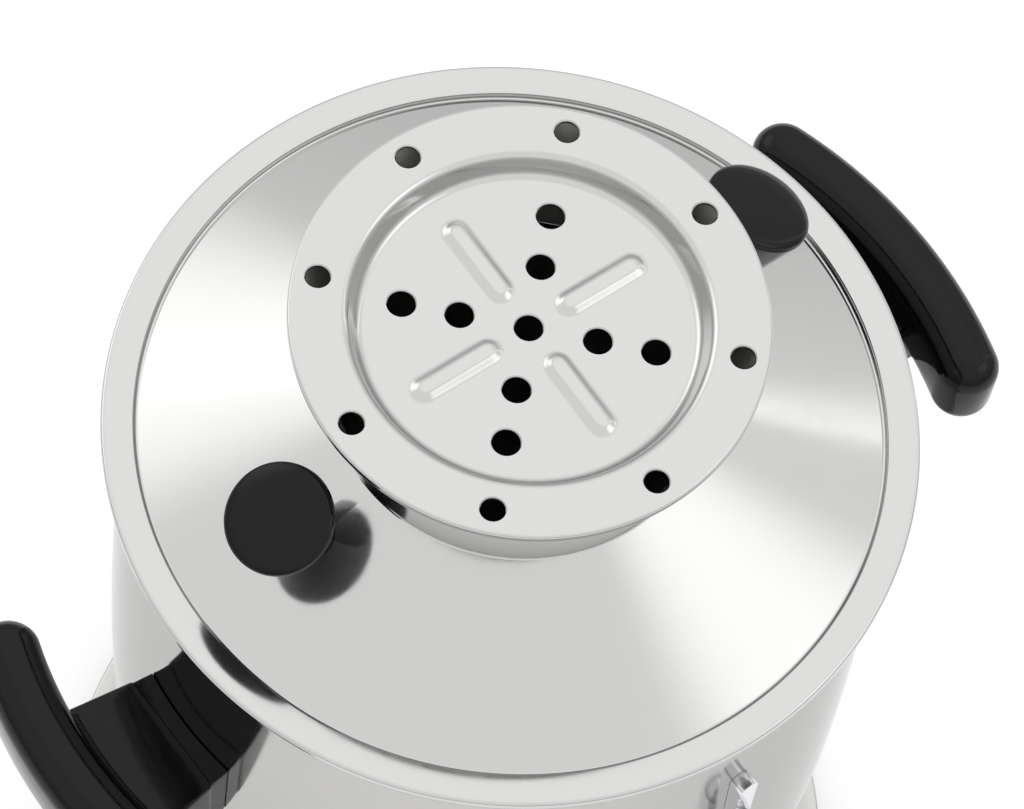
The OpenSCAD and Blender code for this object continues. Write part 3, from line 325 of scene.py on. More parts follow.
def rounded(corners):
    """An outline of (radius, height) points from (radius, height, bend) corners, in millimetres."""
    count = len(corners)
    outline = []
    for i, (r, z, bend) in enumerate(corners):
        corner = Vector((r, z))
        if bend <= 0:
            outline.append(corner)
            continue
        before = Vector(corners[i - 1][:2]) - corner
        after = Vector(corners[(i + 1) % count][:2]) - corner
        half = before.angle(after) / 2
        bent = [corners[j % count][2] > 0 for j in (i - 1, i + 1)]
        shares = [SHARED_EDGE if other else FREE_EDGE for other in bent]
        run = min(bend / math.tan(half), shares[0] * before.length, shares[1] * after.length)
        radius = run * math.tan(half)
        middle = (before.normalized() + after.normalized()).normalized()
        centre = corner + middle * (radius / math.sin(half))
        start = corner + before.normalized() * run - centre
        end = corner + after.normalized() * run - centre
        outline += [centre + radius * start.slerp(end, k / BEND_STEPS) for k in range(BEND_STEPS + 1)]
    return outline


def turned(outline, steps=TURN_STEPS, closed=True):
    """A bmesh of an outline in millimetres, spun once round the Z axis."""
    bm = bmesh.new()
    points = [bm.verts.new((r * MM, 0, z * MM)) for r, z in outline]
    pairs = list(zip(points, points[1:]))
    if closed:
        pairs.append((points[-1], points[0]))
    lines = [bm.edges.new(pair) for pair in pairs]
    bmesh.ops.spin(bm, geom=points + lines, axis=(0, 0, 1), cent=(0, 0, 0),
                   angle=math.tau, steps=steps, use_merge=True)
    return bm


def as_object(name, bm):
    """A linked object from a bmesh, with doubles merged and faces pointing outwards."""
    bmesh.ops.remove_doubles(bm, verts=bm.verts, dist=MERGE)
    bmesh.ops.dissolve_degenerate(bm, edges=bm.edges, dist=SLIVER)
    bmesh.ops.recalc_face_normals(bm, faces=bm.faces)
    print(name, "is made with", sum(not edge.is_manifold for edge in bm.edges), "open edges")
    mesh = bpy.data.meshes.new(name)
    bm.to_mesh(mesh)
    bm.free()
    item = bpy.data.objects.new(name, mesh)
    scene.collection.objects.link(item)
    return item


def baked(item):
    """Replaces an object's mesh by what its modifiers make of it."""
    shape = item.evaluated_get(bpy.context.evaluated_depsgraph_get())
    item.data = bpy.data.meshes.new_from_object(shape)
    item.modifiers.clear()


def punch(item, tool_bm):
    """Cuts a tool's shape out of an object, as a press does, and takes the tool away."""
    tool = as_object("punch_tool", tool_bm)
    cut = item.modifiers.new("punch", "BOOLEAN")
    cut.operation = "DIFFERENCE"
    cut.solver = "EXACT"
    cut.object = tool
    baked(item)
    bpy.data.objects.remove(tool)


def dress(item, body, slot, *nodes, sharp=32, finish=None):
    """Smooths a piece, gives it a finish, hangs it on its body and hides the nodes it stands for."""
    item.data.shade_smooth()
    item.data.set_sharp_from_angle(angle=math.radians(sharp))
    item.data.materials.clear()
    item.data.materials.append(FINISHES[finish or slot])
    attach(item, body)
    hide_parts(*nodes)
    print(item.name, "has", len(item.data.polygons), "faces")


def dull_inside(item, top_z):
    """Gives the faces that look towards the axis, below a height, the mill's dull surface."""
    item.data.materials.append(FINISHES["unpolished_steel"])
    for face in item.data.polygons:
        x, y, z = face.center
        if z < top_z * MM and face.normal.dot(Vector((x, y, 0))) < 0:
            face.material_index = 1


def rod_tool(bm, radius, low, high, place):
    """Adds a round bar to a bmesh, along its own Z from low to high, then moves it to its place."""
    size = (high - low) * MM
    bar = bmesh.ops.create_cone(bm, cap_ends=True, segments=ROD_SIDES, radius1=radius * MM,
                                radius2=radius * MM, depth=size)
    shift = Matrix.Translation((0, 0, low * MM + size / 2))
    bmesh.ops.transform(bm, matrix=place @ shift, verts=bar["verts"])


def outward(angle, z, across=0):
    """A place on the barrel: its Z axis points straight out at an angle in degrees, at a height."""
    turn = Matrix.Rotation(math.radians(angle), 4, "Z")
    return turn @ Matrix.Translation((0, across * MM, z * MM)) @ Matrix.Rotation(math.pi / 2, 4, "Y")


print("bends have", BEND_STEPS, "steps and turns have", TURN_STEPS)

# %% [markdown]
# ## Barrel
# The barrel is one deep spun shell: a slow curve that is widest a little above its middle, a flange
# at the waist and a rolled bead round the mouth that the lid sits on. A cylinder with a few loops
# would show corners in such a clean mirror, so the curve is laid out point by point from two arcs and
# turned. The holes for the fittings are punched afterwards. Nobody polishes a tank's inside, so the
# faces that look towards the axis keep the mill's dull surface.

# %% Barrel
SHEET = 1.2
BRIM_Z = 395.0
RIM_GAP = 0.3
RIM_TOP_Z = BRIM_Z - SHEET - RIM_GAP
BELLY_R = 136.0
BELLY_Z = 245.0
MOUTH_IN = 4
MOUTH_R = BELLY_R - MOUTH_IN
LOW_ARC = 1000.0
TOP_ARC = ((RIM_TOP_Z - BELLY_Z) ** 2 + MOUTH_IN ** 2) / (2 * MOUTH_IN)
WALL_STEPS = 60
WALL_END = 4             # the wall's points keep this far from its ends, to leave room for the bends
WAIST_Z = 55.0
FLANGE_W = 23.8
CUT_EDGE = 0.3
RIM_R = MOUTH_R + 7.4
BEAD_R = 2.2
BEAD_START = 110
BEAD_SWEEP = 280
BEAD_STEPS = 24


def barrel_r(z):
    """The barrel's outer radius at a height, in millimetres."""
    arc = LOW_ARC if z < BELLY_Z else TOP_ARC
    return BELLY_R - arc + math.sqrt(arc ** 2 - (z - BELLY_Z) ** 2)


WAIST_R = barrel_r(WAIST_Z)
FLANGE_R = WAIST_R - FLANGE_W
wall_heights = [WAIST_Z + WALL_END + (RIM_TOP_Z - 2 * WALL_END - WAIST_Z) * i / WALL_STEPS
                for i in range(WALL_STEPS + 1)]
outer_wall = [(barrel_r(z), z, 0) for z in wall_heights]
inner_wall = [(barrel_r(z) - SHEET, z, 0) for z in reversed(wall_heights)]
bead_turns = [math.radians(BEAD_START - BEAD_SWEEP * i / BEAD_STEPS) for i in range(BEAD_STEPS + 1)]
bead = [(RIM_R - BEAD_R * (1 - math.cos(t)), RIM_TOP_Z - BEAD_R * (1 - math.sin(t)), 0)
        for t in reversed(bead_turns)]
barrel_outline = rounded(
    [(FLANGE_R, WAIST_Z, CUT_EDGE), (WAIST_R, WAIST_Z, 1.6)] + outer_wall
    + [(MOUTH_R, RIM_TOP_Z - SHEET, 1.5)] + bead
    + [(MOUTH_R - SHEET, RIM_TOP_Z, 1.0)] + inner_wall
    + [(WAIST_R - SHEET, WAIST_Z + SHEET, 1.0), (FLANGE_R, WAIST_Z + SHEET, CUT_EDGE)])
barrel = as_object("barrel_spun", turned(barrel_outline))

# %% Barrel holes
TAP_Z = 128.0
GAUGE_TOP_Z = BRIM_Z - 94
GAUGE_LOW_Z = 186.0
DIAL_Z = 75.0
INLET_Z = 76.0
INLET_WINDOW = (31.6, 40, 24.6)
INLET_WINDOW_Y = 122
INLET_SCREW_HALF = 20
WEB_TOP_Z = BRIM_Z - 78
WEB_H = 36.0
BOLT_Z = WEB_TOP_Z - WEB_H / 2
BOLT_HALF = 12.0
LAMP_ANGLE = -68.0
FRONT = -90.0
REAR = 90.0
SIDES = (("right", 0), ("left", 180))
DIAGONALS = (45, 135, 225, 315)
PILLAR_R = 104
PILLAR_SCREW_R = 2.25
PILLAR_CUT_Z = WAIST_Z - 5
WALL_CUT = (100, 150)    # the wall's punches run between these distances from the axis

# The round holes in the wall: radius, angle, height and distance from the middle.
wall_holes = [(2.75, angle, BOLT_Z, across) for _, angle in SIDES for across in (-BOLT_HALF, BOLT_HALF)]
wall_holes += [
    (8.25, FRONT, TAP_Z, 0),
    (4.25, FRONT, GAUGE_TOP_Z, 0),
    (4.25, FRONT, GAUGE_LOW_Z, 0),
    (5.25, FRONT, DIAL_Z, 0),
    (4.75, LAMP_ANGLE, DIAL_Z, 0),
    (1.75, REAR, INLET_Z, -INLET_SCREW_HALF),
    (1.75, REAR, INLET_Z, INLET_SCREW_HALF),
]


def pillar_holes(bm, high):
    """Adds the punches for the pillars' screws to a bmesh, up to a height."""
    for angle in DIAGONALS:
        turn = Matrix.Rotation(math.radians(angle), 4, "Z")
        place = turn @ Matrix.Translation((PILLAR_R * MM, 0, 0))
        rod_tool(bm, PILLAR_SCREW_R, PILLAR_CUT_Z, high, place)


holes = bmesh.new()
for radius, angle, z, across in wall_holes:
    rod_tool(holes, radius, *WALL_CUT, outward(angle, z, across))
pillar_holes(holes, WAIST_Z + 5)
window = bmesh.ops.create_cube(holes, size=MM)
bmesh.ops.scale(holes, vec=INLET_WINDOW, verts=window["verts"])
bmesh.ops.translate(holes, vec=(0, INLET_WINDOW_Y * MM, INLET_Z * MM), verts=window["verts"])
punch(barrel, holes)
# The barrel takes the darker copy of the polished steel: painted shade for the shaded floor that it
# reflects.
dress(barrel, "vessel", "polished_steel", "body_shell", "lower_shell", "inlet_panel",
      finish="painted_shade_barrel_steel")
dull_inside(barrel, RIM_TOP_Z - 2 * SHEET)

# %% [markdown]
# ## Base
# The base is a spun skirt that leaves the waist upright and sweeps out into a broad foot, then drops
# as a short edge. A quarter ellipse gives the sweep. It is turned like the barrel.

# %% Base
SKIRT_TOP_Z = WAIST_Z - SHEET
SKIRT_R = WAIST_R + 36.72
SKIRT_Z = 20.0
SKIRT_EDGE_Z = 9.0
SWEEP_STEPS = 32
sweep = [math.pi / 2 * i / SWEEP_STEPS for i in range(SWEEP_STEPS + 1)]
flare = [(WAIST_R + (SKIRT_R - WAIST_R) * (1 - math.cos(t)),
          SKIRT_TOP_Z - (SKIRT_TOP_Z - SKIRT_Z) * math.sin(t)) for t in sweep]
skirt_outline = rounded(
    [(FLANGE_R, SKIRT_TOP_Z, CUT_EDGE)] + [(r, z, 0) for r, z in flare[1:-1]]
    + [(SKIRT_R, SKIRT_Z, 1.4), (SKIRT_R, SKIRT_EDGE_Z, 0.4), (SKIRT_R - SHEET, SKIRT_EDGE_Z, 0.4)]
    + [(r - SHEET, z - SHEET, 0) for r, z in reversed(flare)]
    + [(FLANGE_R, SKIRT_TOP_Z - SHEET, CUT_EDGE)])
skirt = as_object("base_spun", turned(skirt_outline))
flange_holes = bmesh.new()
pillar_holes(flange_holes, WAIST_Z + 1)
punch(skirt, flange_holes)
# The base takes the same darker copy of the polished steel: painted shade for the shaded floor that it
# reflects.
dress(skirt, "vessel", "polished_steel", "base_skirt", finish="painted_shade_barrel_steel")

# %% [markdown]
# ## Lid
# The lid is spun from one sheet: a brim that lies on the rim, a short step down inside it that
# centres the lid in the mouth, and a cone that rises to the neck. The brim is a little crowned and its
# edge is turned down over the rim. The bends are tight but never sharp.

# %% Lid
BRIM_R = RIM_R + 0.6
LID_PLAY = 0.7
BRIM_INNER_R = MOUTH_R - SHEET - LID_PLAY - SHEET
STEP_IN = 0.6
STEP_R = BRIM_INNER_R - STEP_IN
STEP_H = 2.4
STEP_BEND = 1.2
CONE_SLOPE = math.radians(25.6)
NECK_R = 63.8
NECK_BORE_R = NECK_R - SHEET
CONE_T = SHEET / math.cos(CONE_SLOPE)


def cone_z(r):
    """Height of the lid's cone at a radius, in millimetres."""
    return BRIM_Z - STEP_H + (STEP_R - r) * math.tan(CONE_SLOPE)


BRIM_CREST_R = BRIM_R - 2.7
BRIM_CREST_Z = BRIM_Z + 0.3
BRIM_CROWN = 32.0
BRIM_CROWN_IN = 2.0
BRIM_LIP = 2.4
BRIM_LIP_T = 0.9
BRIM_BEND = 1.6          # the brim's first ring of points keeps this far from its edge
BRIM_RING = 0.4
BRIM_RINGS = 9


def brim_top(r):
    """Height of the brim at a radius, in millimetres: a crown that runs out in a straight fall."""
    inwards = BRIM_CREST_R - r
    curved = min(inwards, BRIM_CROWN_IN)
    return BRIM_CREST_Z - (curved ** 2 / 2 + (inwards - curved) * BRIM_CROWN_IN) / BRIM_CROWN


brim_radii = [BRIM_R - BRIM_BEND - BRIM_RING * i for i in range(BRIM_RINGS)]
lid_outline = rounded([(BRIM_R, brim_top(BRIM_R), 1.2)] + [(r, brim_top(r), 0) for r in brim_radii] + [
    (BRIM_INNER_R, brim_top(BRIM_INNER_R), 0.5),
    (STEP_R, BRIM_Z - STEP_H, STEP_BEND),
    (NECK_BORE_R, cone_z(NECK_BORE_R), 0.4),
    (NECK_BORE_R, cone_z(NECK_BORE_R) - CONE_T, 0.4),
    (STEP_R + SHEET, cone_z(STEP_R + SHEET) - CONE_T, STEP_BEND + SHEET),
    (BRIM_INNER_R + SHEET, BRIM_Z - SHEET, 0.8),
    (BRIM_R - BRIM_LIP_T, BRIM_Z - SHEET, 0.3),
    (BRIM_R - BRIM_LIP_T, BRIM_Z - BRIM_LIP, 0.3),
    (BRIM_R, BRIM_Z - BRIM_LIP, 0.3),
])
lid = as_object("lid_spun", turned(lid_outline))

KNOB_FOOT_R = NECK_R + 22.3
KNOB_SCREW_R = 2.25
KNOB_SCREW_CUT = 8


def knob_place(angle):
    """Where a knob stands on the cone: its Z axis is square to the sheet."""
    return (Matrix.Rotation(math.radians(angle), 4, "Z")
            @ Matrix.Translation((KNOB_FOOT_R * MM, 0, cone_z(KNOB_FOOT_R) * MM))
            @ Matrix.Rotation(CONE_SLOPE, 4, "Y"))


screw_holes = bmesh.new()
for _, angle in SIDES:
    rod_tool(screw_holes, KNOB_SCREW_R, -KNOB_SCREW_CUT, KNOB_SCREW_CUT, knob_place(angle))
punch(lid, screw_holes)
dress(lid, "lid", "polished_steel", "lid_shell")

# %% [markdown]
# ## Neck
# A drawn collar stands on the cone and carries the teapot stand. It leaves the cone upright on a
# small welded fillet and flares like a bell, so that the holes in the stand's ring open into it. A
# square law gives the flare: flat at the foot, steepest under the rim. Its inside is dull, as in the
# tank.

# %% Neck
STAND_RISE = 79.2
NECK_TOP_Z = BRIM_Z + STAND_RISE - SHEET
NECK_FLARE = 13.6
NECK_TOP_R = NECK_R + NECK_FLARE
NECK_RIM_Z = NECK_TOP_Z - 3.4
FILLET = 0.5
CONE_GAP = 0.1
BELL_STEPS = 32
bell_foot_z = cone_z(NECK_R)
bell_h = NECK_RIM_Z - bell_foot_z
bell = [(NECK_R + NECK_FLARE * (i / BELL_STEPS) ** 2, bell_foot_z + bell_h * i / BELL_STEPS)
        for i in range(2, BELL_STEPS)]
neck_outline = rounded(
    [(NECK_R + FILLET, cone_z(NECK_R + FILLET) + CONE_GAP, 0),
     (NECK_R, bell_foot_z + 2 * CONE_GAP, FILLET)]
    + [(r, z, 0) for r, z in bell]
    + [(NECK_TOP_R, NECK_RIM_Z, 1.0), (NECK_TOP_R, NECK_TOP_Z, 0.4),
       (NECK_TOP_R - SHEET, NECK_TOP_Z, 0.4), (NECK_TOP_R - SHEET, NECK_RIM_Z, 1.0)]
    + [(r - SHEET, z, 0) for r, z in reversed(bell)]
    + [(NECK_BORE_R, cone_z(NECK_BORE_R) + CONE_GAP, 0)])
neck = as_object("neck_drawn", turned(neck_outline))
dress(neck, "lid", "polished_steel", "lid_neck")
dull_inside(neck, NECK_TOP_Z)

# %% [markdown]
# ## Teapot stand
# The stand is a pressed disc: a flat ring with a turned-down edge, a shallow dish, four ribs that
# stiffen its floor, and punched holes for the steam. The disc is turned with many rings, so that the
# ribs can be raised by moving vertices, as a press does. The holes are cut by tools with a rounded
# shoulder, which leaves the soft edge that a punch draws in.

# %% Stand blank
STAND_TOP_Z = NECK_TOP_Z + SHEET
STAND_PLAY = 0.9
STAND_R = NECK_TOP_R + STAND_PLAY + SHEET
STAND_STEPS = 320
STAND_EDGE_Z = STAND_TOP_Z - 3
DISH_R = STAND_R - 19.3
DISH_FLOOR_R = DISH_R - 3.7
DISH_Z = STAND_TOP_Z - 7.9
FLOOR_RING = 1.1
FLOOR_RINGS = 48
RING_START_R = 63
RING_STEP = 1.8
RING_STEPS = 9
floor_radii = [FLOOR_RING * i for i in range(1, FLOOR_RINGS + 1)]
ring_radii = [RING_START_R + RING_STEP * i for i in range(RING_STEPS)]
stand_outline = rounded(
    [(STAND_R, STAND_TOP_Z, 0.9)] + [(r, STAND_TOP_Z, 0) for r in reversed(ring_radii)]
    + [(DISH_R, STAND_TOP_Z, 3.2), (DISH_FLOOR_R, DISH_Z, 3.4)]
    + [(r, DISH_Z, 0) for r in reversed(floor_radii)] + [(0, DISH_Z, 0), (0, DISH_Z - SHEET, 0)]
    + [(r, DISH_Z - SHEET, 0) for r in floor_radii]
    + [(DISH_FLOOR_R + SHEET, DISH_Z - SHEET, 4.4), (DISH_R + SHEET, NECK_TOP_Z, 2.0)]
    + [(r, NECK_TOP_Z, 0) for r in ring_radii]
    + [(STAND_R - SHEET, NECK_TOP_Z, 0.5), (STAND_R - SHEET, STAND_EDGE_Z, CUT_EDGE),
       (STAND_R, STAND_EDGE_Z, CUT_EDGE)])
axis_low = next(i for i, point in enumerate(stand_outline) if point.x == 0) + 1
open_outline = stand_outline[axis_low:] + stand_outline[:axis_low]
stand_bm = turned(open_outline, steps=STAND_STEPS, closed=False)

# %% Stand ribs
STAND_TURN = 42.8
RIB_START = 13.0
RIB_END = DISH_FLOOR_R - 11.5
RIB_HALF = 3.5
RIB_H = 1.5
RIB_SOFT = 3.6
RIB_FIELD_R = DISH_FLOOR_R - 4


def rib_rise(x, y):
    """How far the press lifts the dish's floor at a point, in millimetres."""
    rise = 0.0
    for angle in DIAGONALS:
        way = math.radians(STAND_TURN + angle)
        along = x * math.cos(way) + y * math.sin(way)
        aside = y * math.cos(way) - x * math.sin(way)
        nearest = min(max(along, RIB_START + RIB_HALF), RIB_END - RIB_HALF)
        depth = RIB_HALF + RIB_SOFT / 2 - math.hypot(along - nearest, aside)
        share = min(max(depth / RIB_SOFT, 0), 1)
        rise = max(rise, RIB_H * share * share * (3 - 2 * share))
    return rise


for vert in stand_bm.verts:
    if math.hypot(vert.co.x, vert.co.y) < RIB_FIELD_R * MM:
        vert.co.z += rib_rise(vert.co.x / MM, vert.co.y / MM) * MM
stand = as_object("stand_pressed", stand_bm)

# %% Stand holes
RING_HOLE_R = 4.0
DISH_HOLE_R = 4.6
RING_HOLES = 8
RING_HOLE_REACH = STAND_R - 8.8
DISH_HOLE_REACHES = (23.1, DISH_FLOOR_R - 14)
SHOULDER = 0.5
PUNCH_HALF = 4
PUNCH_STEPS = 64
PUNCH_MERGE = 0.005 * MM
AXIS_R = 0.001           # keeps a punch's outline just off the axis it is turned round


def hole_tool(bm, radius, top_z, angle, reach):
    """Adds a punch with a rounded shoulder at a height, at an angle and distance from the axis."""
    outline = rounded([
        (AXIS_R, top_z - PUNCH_HALF, 0),
        (radius, top_z - PUNCH_HALF, 0),
        (radius, top_z - SHOULDER, SHOULDER),
        (radius + SHOULDER, top_z, 0),
        (radius + SHOULDER, top_z + PUNCH_HALF, 0),
        (AXIS_R, top_z + PUNCH_HALF, 0),
    ])
    tool = turned(outline, steps=PUNCH_STEPS)
    bmesh.ops.remove_doubles(tool, verts=tool.verts, dist=PUNCH_MERGE)
    place = (Matrix.Rotation(math.radians(STAND_TURN + angle), 4, "Z")
             @ Matrix.Translation((reach * MM, 0, 0)))
    bmesh.ops.transform(tool, matrix=place, verts=tool.verts)
    scrap = bpy.data.meshes.new("scrap")
    tool.to_mesh(scrap)
    tool.free()
    bm.from_mesh(scrap)
    bpy.data.meshes.remove(scrap)


punches = bmesh.new()
for i in range(RING_HOLES):
    hole_tool(punches, RING_HOLE_R, STAND_TOP_Z, 360 / RING_HOLES * i, RING_HOLE_REACH)
for angle in (0, 90, 180, 270):
    for reach in DISH_HOLE_REACHES:
        hole_tool(punches, DISH_HOLE_R, DISH_Z, angle, reach)
hole_tool(punches, DISH_HOLE_R, DISH_Z, 0, 0)
punch(stand, punches)
dress(stand, "crown", "polished_steel", "crown_plate")

# %% [markdown]
# ## Knobs
# Two black knobs lift the hot lid. Each is a plain turned form: a flank that widens from the foot, a
# blunt edge and a low dome. It is turned about its own axis and then set square on the cone.

# %% Knobs
KNOB_H = 36.0
KNOB_R = 19.0
KNOB_BASE_R = 8.4
KNOB_DOME = 2.6
KNOB_DOME_Z = KNOB_H - KNOB_DOME
KNOB_DOME_R = KNOB_R - 0.4
KNOB_BORE_R = 2.05
KNOB_BORE_CUT = (-1, 15)
KNOB_STEPS = 128
DOME_STEPS = 24
dome_turns = [math.pi / 2 * i / DOME_STEPS for i in range(2, DOME_STEPS + 1)]
knob_dome = [(KNOB_DOME_R * math.cos(t), KNOB_DOME_Z + KNOB_DOME * math.sin(t), 0) for t in dome_turns]
knob_outline = rounded(
    [(0, CONE_GAP, 0), (KNOB_BASE_R, CONE_GAP, 0.4), (KNOB_R - 0.5, KNOB_DOME_Z - 3.0, 0.8),
     (KNOB_R, KNOB_DOME_Z - 1.6, 0.9), (KNOB_R - 0.2, KNOB_DOME_Z + 0.1, 0.6)] + knob_dome)
for side, angle in SIDES:
    knob_bm = turned(knob_outline, steps=KNOB_STEPS, closed=False)
    bore = bmesh.new()
    rod_tool(bore, KNOB_BORE_R, *KNOB_BORE_CUT, knob_place(angle))
    bmesh.ops.transform(knob_bm, matrix=knob_place(angle), verts=knob_bm.verts)
    knob = as_object("knob_" + side + "_turned", knob_bm)
    punch(knob, bore)
    dress(knob, "lid", "black_phenolic", "knob_" + side)

# %% [markdown]
# ## Side handles
# A handle is one thick moulding: a bowed grip with round ends, on a bracket that spreads from the
# barrel to the grip. The grip's section is turned along an arc and its ends are the same section
# turned through half a circle. A smaller root stands between the bracket and the barrel, and a
# hollow fillet runs where the bracket meets the grip. The pieces are joined into one mesh.

# %% Handle grip
GRIP_T = 23.0
GRIP_H = 33.6
GRIP_ROUND = 9.0
GRIP_REACH = BELLY_R + 56.1
GRIP_MID_X = GRIP_REACH - GRIP_T / 2
GRIP_ARC = 174.7
GRIP_TOP_Z = BRIM_Z - 58.9
GRIP_MID_Z = GRIP_TOP_Z - GRIP_H / 2
GRIP_HALF_CHORD = 53.6
GRIP_END = math.asin(GRIP_HALF_CHORD / GRIP_ARC)
GRIP_STEPS = 72
END_STEPS = 32
grip_centre = Vector(((GRIP_MID_X - GRIP_ARC) * MM, 0, GRIP_MID_Z * MM))
half_t = GRIP_T / 2
half_h = GRIP_H / 2
grip_section = rounded([
    (0, half_h, 0), (-half_t, half_h, GRIP_ROUND), (-half_t, -half_h, GRIP_ROUND), (0, -half_h, 0),
    (half_t, -half_h, GRIP_ROUND), (half_t, half_h, GRIP_ROUND)])
outer_half = grip_section[grip_section.index(Vector((0, -half_h))):] + grip_section[:1]


def along_grip(turn):
    """The place of a section on the grip's arc, at an angle in radians."""
    arm = Matrix.Translation((GRIP_ARC * MM, 0, 0))
    return Matrix.Translation(grip_centre) @ Matrix.Rotation(turn, 4, "Z") @ arm


def swept(bm, points, joined, place, centre, angle, steps):
    """Spins section points, set at a place, round an upright line through centre."""
    verts = [bm.verts.new(place @ Vector((x * MM, 0, z * MM))) for x, z in points]
    pairs = list(zip(verts, verts[1:])) + ([(verts[-1], verts[0])] if joined else [])
    edges = [bm.edges.new(pair) for pair in pairs]
    bmesh.ops.spin(bm, geom=verts + edges, axis=(0, 0, 1), cent=centre, angle=angle, steps=steps)


def grip_bm():
    """The grip on the right side."""
    bm = bmesh.new()
    swept(bm, grip_section, True, along_grip(-GRIP_END), grip_centre, 2 * GRIP_END, GRIP_STEPS)
    for side in (-1, 1):
        end = along_grip(side * GRIP_END)
        swept(bm, outer_half, False, end, end.translation, side * math.pi, END_STEPS)
    return bm


# %% Handle bracket
WEB_TIP_H = 20.0
WEB_HALF = 23.2
WEB_TIP_HALF = 30.3
ROOT_X = BELLY_R + 4.6
ROOT_INSET = 0.6
ROOT_OVERLAP = 3
BLOCK_CUTS = 11
BRACKET_EDGE = 1.4
ROOT_EDGE = 0.9
EDGE_STEPS = 4
BARREL_GAP = 0.1
HOLLOW = 4.0
HOLLOW_STEPS = 8
HOLLOW_LENGTH_STEPS = 32
HOLLOW_OVERLAP = 2
HOLLOW_HALF = WEB_TIP_HALF - 3


def block_bm(near, far, inset):
    """A block of the bracket from a cube cut into a grid. near and far give its ends at any y, z."""
    bm = bmesh.new()
    bmesh.ops.create_cube(bm, size=1)
    bmesh.ops.subdivide_edges(bm, edges=bm.edges, cuts=BLOCK_CUTS, use_grid_fill=True)
    for vert in bm.verts:
        out = vert.co.x + 0.5
        middle_x = near(0, WEB_TOP_Z) * (1 - out) + far(0) * out
        share = min(max((middle_x - BELLY_R) / (GRIP_MID_X - BELLY_R), 0), 1)
        y = 2 * vert.co.y * (WEB_HALF + (WEB_TIP_HALF - WEB_HALF) * share - inset)
        depth = WEB_H + (WEB_TIP_H - WEB_H) * share - 2 * inset
        z = WEB_TOP_Z - inset - (0.5 - vert.co.z) * depth
        vert.co = Vector((near(y, z) * (1 - out) + far(y) * out, y, z)) * MM
    return bm


def on_barrel(y, z):
    """Where the root meets the barrel's wall."""
    return math.sqrt((barrel_r(z) + BARREL_GAP) ** 2 - y ** 2)


def in_grip(y):
    """The middle of the grip."""
    return GRIP_MID_X - GRIP_ARC + math.sqrt(GRIP_ARC ** 2 - y ** 2)


def hollow_bm():
    """The hollow fillet between the bracket's top and the grip."""
    bm = bmesh.new()
    low = WEB_TOP_Z - GRIP_MID_Z
    inside = -half_t + HOLLOW_OVERLAP
    under = low - HOLLOW_OVERLAP
    turns = [math.pi / 2 * i / HOLLOW_STEPS for i in range(HOLLOW_STEPS + 1)]
    arc = [(-half_t - HOLLOW * (1 - math.sin(t)), low + HOLLOW * (1 - math.cos(t))) for t in turns]
    points = arc + [(inside, low + HOLLOW), (inside, under), (-half_t - HOLLOW, under)]
    reach = math.asin(HOLLOW_HALF / GRIP_ARC)
    swept(bm, points, True, along_grip(-reach), grip_centre, 2 * reach, HOLLOW_LENGTH_STEPS)
    bmesh.ops.holes_fill(bm, edges=[edge for edge in bm.edges if edge.is_boundary])
    return bm


def softened(item, width):
    """Rounds the square edges of a block."""
    edge = item.modifiers.new("soft edges", "BEVEL")
    edge.width = width * MM
    edge.segments = EDGE_STEPS
    edge.angle_limit = math.radians(50)
    baked(item)


# %% Handles joined
INSERT_R = 4.05
INSERT_CUT = (120, BELLY_R + 17)
for side, angle in SIDES:
    handle = as_object("handle_" + side + "_moulded", grip_bm())
    bracket = as_object("bracket", block_bm(lambda y, z: ROOT_X, in_grip, 0))
    softened(bracket, BRACKET_EDGE)
    root = as_object("root", block_bm(on_barrel, lambda y: ROOT_X + ROOT_OVERLAP, ROOT_INSET))
    softened(root, ROOT_EDGE)
    for piece in (bracket, root, as_object("hollow", hollow_bm())):
        join = handle.modifiers.new("join", "BOOLEAN")
        join.operation = "UNION"
        join.solver = "EXACT"
        join.object = piece
        baked(handle)
        bpy.data.objects.remove(piece)
    handle.data.transform(Matrix.Rotation(math.radians(angle), 4, "Z"))
    inserts = bmesh.new()
    for across in (-BOLT_HALF, BOLT_HALF):
        rod_tool(inserts, INSERT_R, *INSERT_CUT, outward(angle, BOLT_Z, across))
    punch(handle, inserts)
    dress(handle, "vessel", "black_phenolic", "handle_" + side, sharp=28)

# %% [markdown]
# ## Floor and studio light
# A mirror-like lid shows the room, so the room is what makes it look right: white paper all round,
# two panel edges behind, a soft lamp on either side and one overhead. Lamps would be seen as
# shapes, so a dome is used: its light is worked out from the direction. The floor is a pale sheet.

# %% Floor
FLOOR_HALF = 4.0
FLOOR_CELLS = 8
FIBRE_MM = 30
PAPER_GLOW = 0.2
floor_bm = bmesh.new()
bmesh.ops.create_grid(floor_bm, x_segments=FLOOR_CELLS, y_segments=FLOOR_CELLS, size=FLOOR_HALF)
floor = as_object("floor", floor_bm)
paper, paper_tree, paper_shader = new_finish("paper_white_matt", "#f4f4f4", 0.0, 0.9)
paper_place = add(paper_tree, "ShaderNodeTexCoord").outputs["Object"]
fibre = add(paper_tree, "ShaderNodeTexNoise",
            {"Vector": paper_place, "Scale": per_mm(FIBRE_MM), "Detail": 4.0})
fibre_tint = add(paper_tree, "ShaderNodeMix",
                 {"Factor": fibre.outputs[0], 6: linear("#f1f1f1"), 7: linear("#f6f6f6")},
                 data_type="RGBA")
paper_tree.links.new(fibre_tint.outputs[2], paper_shader.inputs["Base Color"])
paper_shader.inputs["Emission Color"].default_value = linear("#ffffff")
paper_shader.inputs["Emission Strength"].default_value = PAPER_GLOW
floor.data.materials.append(paper)

# %% Studio dome
DOME_LOW = 0.6
DOME_HIGH = 1.085
DOME_RISE = (0.1, 0.59)  # the dome's light grows between these sines of the elevation
PANEL_EDGE = math.radians(1)
# Panels behind the samovar: azimuth of the sharp edge, which way the light fades (1 is with growing
# azimuth), over how many degrees, and the light that it adds.
PANELS = (
    (106.5, -1, 25, 0.088),
    (-6.8, 1, 9, 0.6),
)
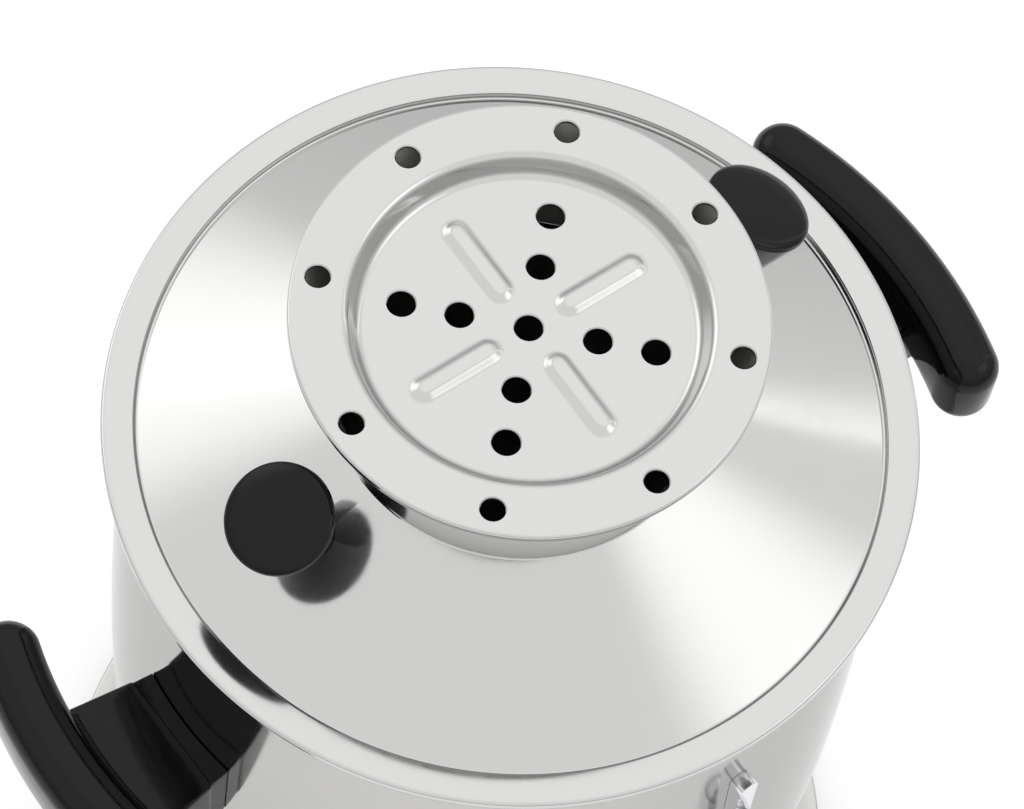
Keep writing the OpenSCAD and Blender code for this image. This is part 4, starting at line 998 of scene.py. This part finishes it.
# Lamps: azimuth and elevation of the middle, how far the glow reaches, and the light that it adds.
LAMPS = (
    (101, 34, 25, 0.65),
    (-44, 48, 21, 0.66),
    (44, 64, 24, 0.2),
)

world = bpy.data.worlds.new("studio_dome")
world.use_nodes = True
scene.world = world
sky = world.node_tree
way = add(sky, "ShaderNodeTexCoord").outputs["Generated"]
way_parts = add(sky, "ShaderNodeSeparateXYZ", {0: way})
glow = add(sky, "ShaderNodeMapRange",
           {"Value": way_parts.outputs[2], "From Min": DOME_RISE[0], "From Max": DOME_RISE[1],
            "To Min": DOME_LOW, "To Max": DOME_HIGH}).outputs[0]


def compass(azimuth, elevation=0):
    """A direction from degrees of azimuth and elevation."""
    flat = math.cos(math.radians(elevation))
    return Vector((flat * math.cos(math.radians(azimuth)), flat * math.sin(math.radians(azimuth)),
                   math.sin(math.radians(elevation))))


for azimuth, sense, fade, amount in PANELS:
    ahead = add(sky, "ShaderNodeVectorMath", {0: way, 1: compass(azimuth)}, operation="DOT_PRODUCT")
    beside = add(sky, "ShaderNodeVectorMath", {0: way, 1: sense * compass(azimuth + 90)},
                 operation="DOT_PRODUCT")
    turn = add(sky, "ShaderNodeMath", {0: beside.outputs["Value"], 1: ahead.outputs["Value"]},
               operation="ARCTAN2")
    edge = add(sky, "ShaderNodeMapRange",
               {"Value": turn.outputs[0], "From Min": -PANEL_EDGE, "From Max": PANEL_EDGE},
               interpolation_type="SMOOTHSTEP")
    falling = add(sky, "ShaderNodeMapRange",
                  {"Value": turn.outputs[0], "From Min": 0.0, "From Max": math.radians(fade),
                   "To Min": amount, "To Max": 0.0}, interpolation_type="SMOOTHSTEP")
    glow = add(sky, "ShaderNodeMath", {0: edge.outputs[0], 1: falling.outputs[0], 2: glow},
               operation="MULTIPLY_ADD").outputs[0]

for azimuth, elevation, reach, amount in LAMPS:
    nearness = add(sky, "ShaderNodeVectorMath", {0: way, 1: compass(azimuth, elevation)},
                   operation="DOT_PRODUCT")
    lamp_glow = add(sky, "ShaderNodeMapRange",
                    {"Value": nearness.outputs["Value"], "From Min": math.cos(math.radians(reach)),
                     "From Max": 1.0, "To Min": 0.0, "To Max": amount},
                    interpolation_type="SMOOTHSTEP")
    glow = add(sky, "ShaderNodeMath", {0: lamp_glow.outputs[0], 1: glow}, operation="ADD").outputs[0]
sky.links.new(glow, sky.nodes["Background"].inputs["Strength"])
sky.nodes["Background"].inputs["Color"].default_value = linear("#ffffff")
scene.view_settings.view_transform = "Standard"
print("lights in the dome:", len(PANELS) + len(LAMPS))
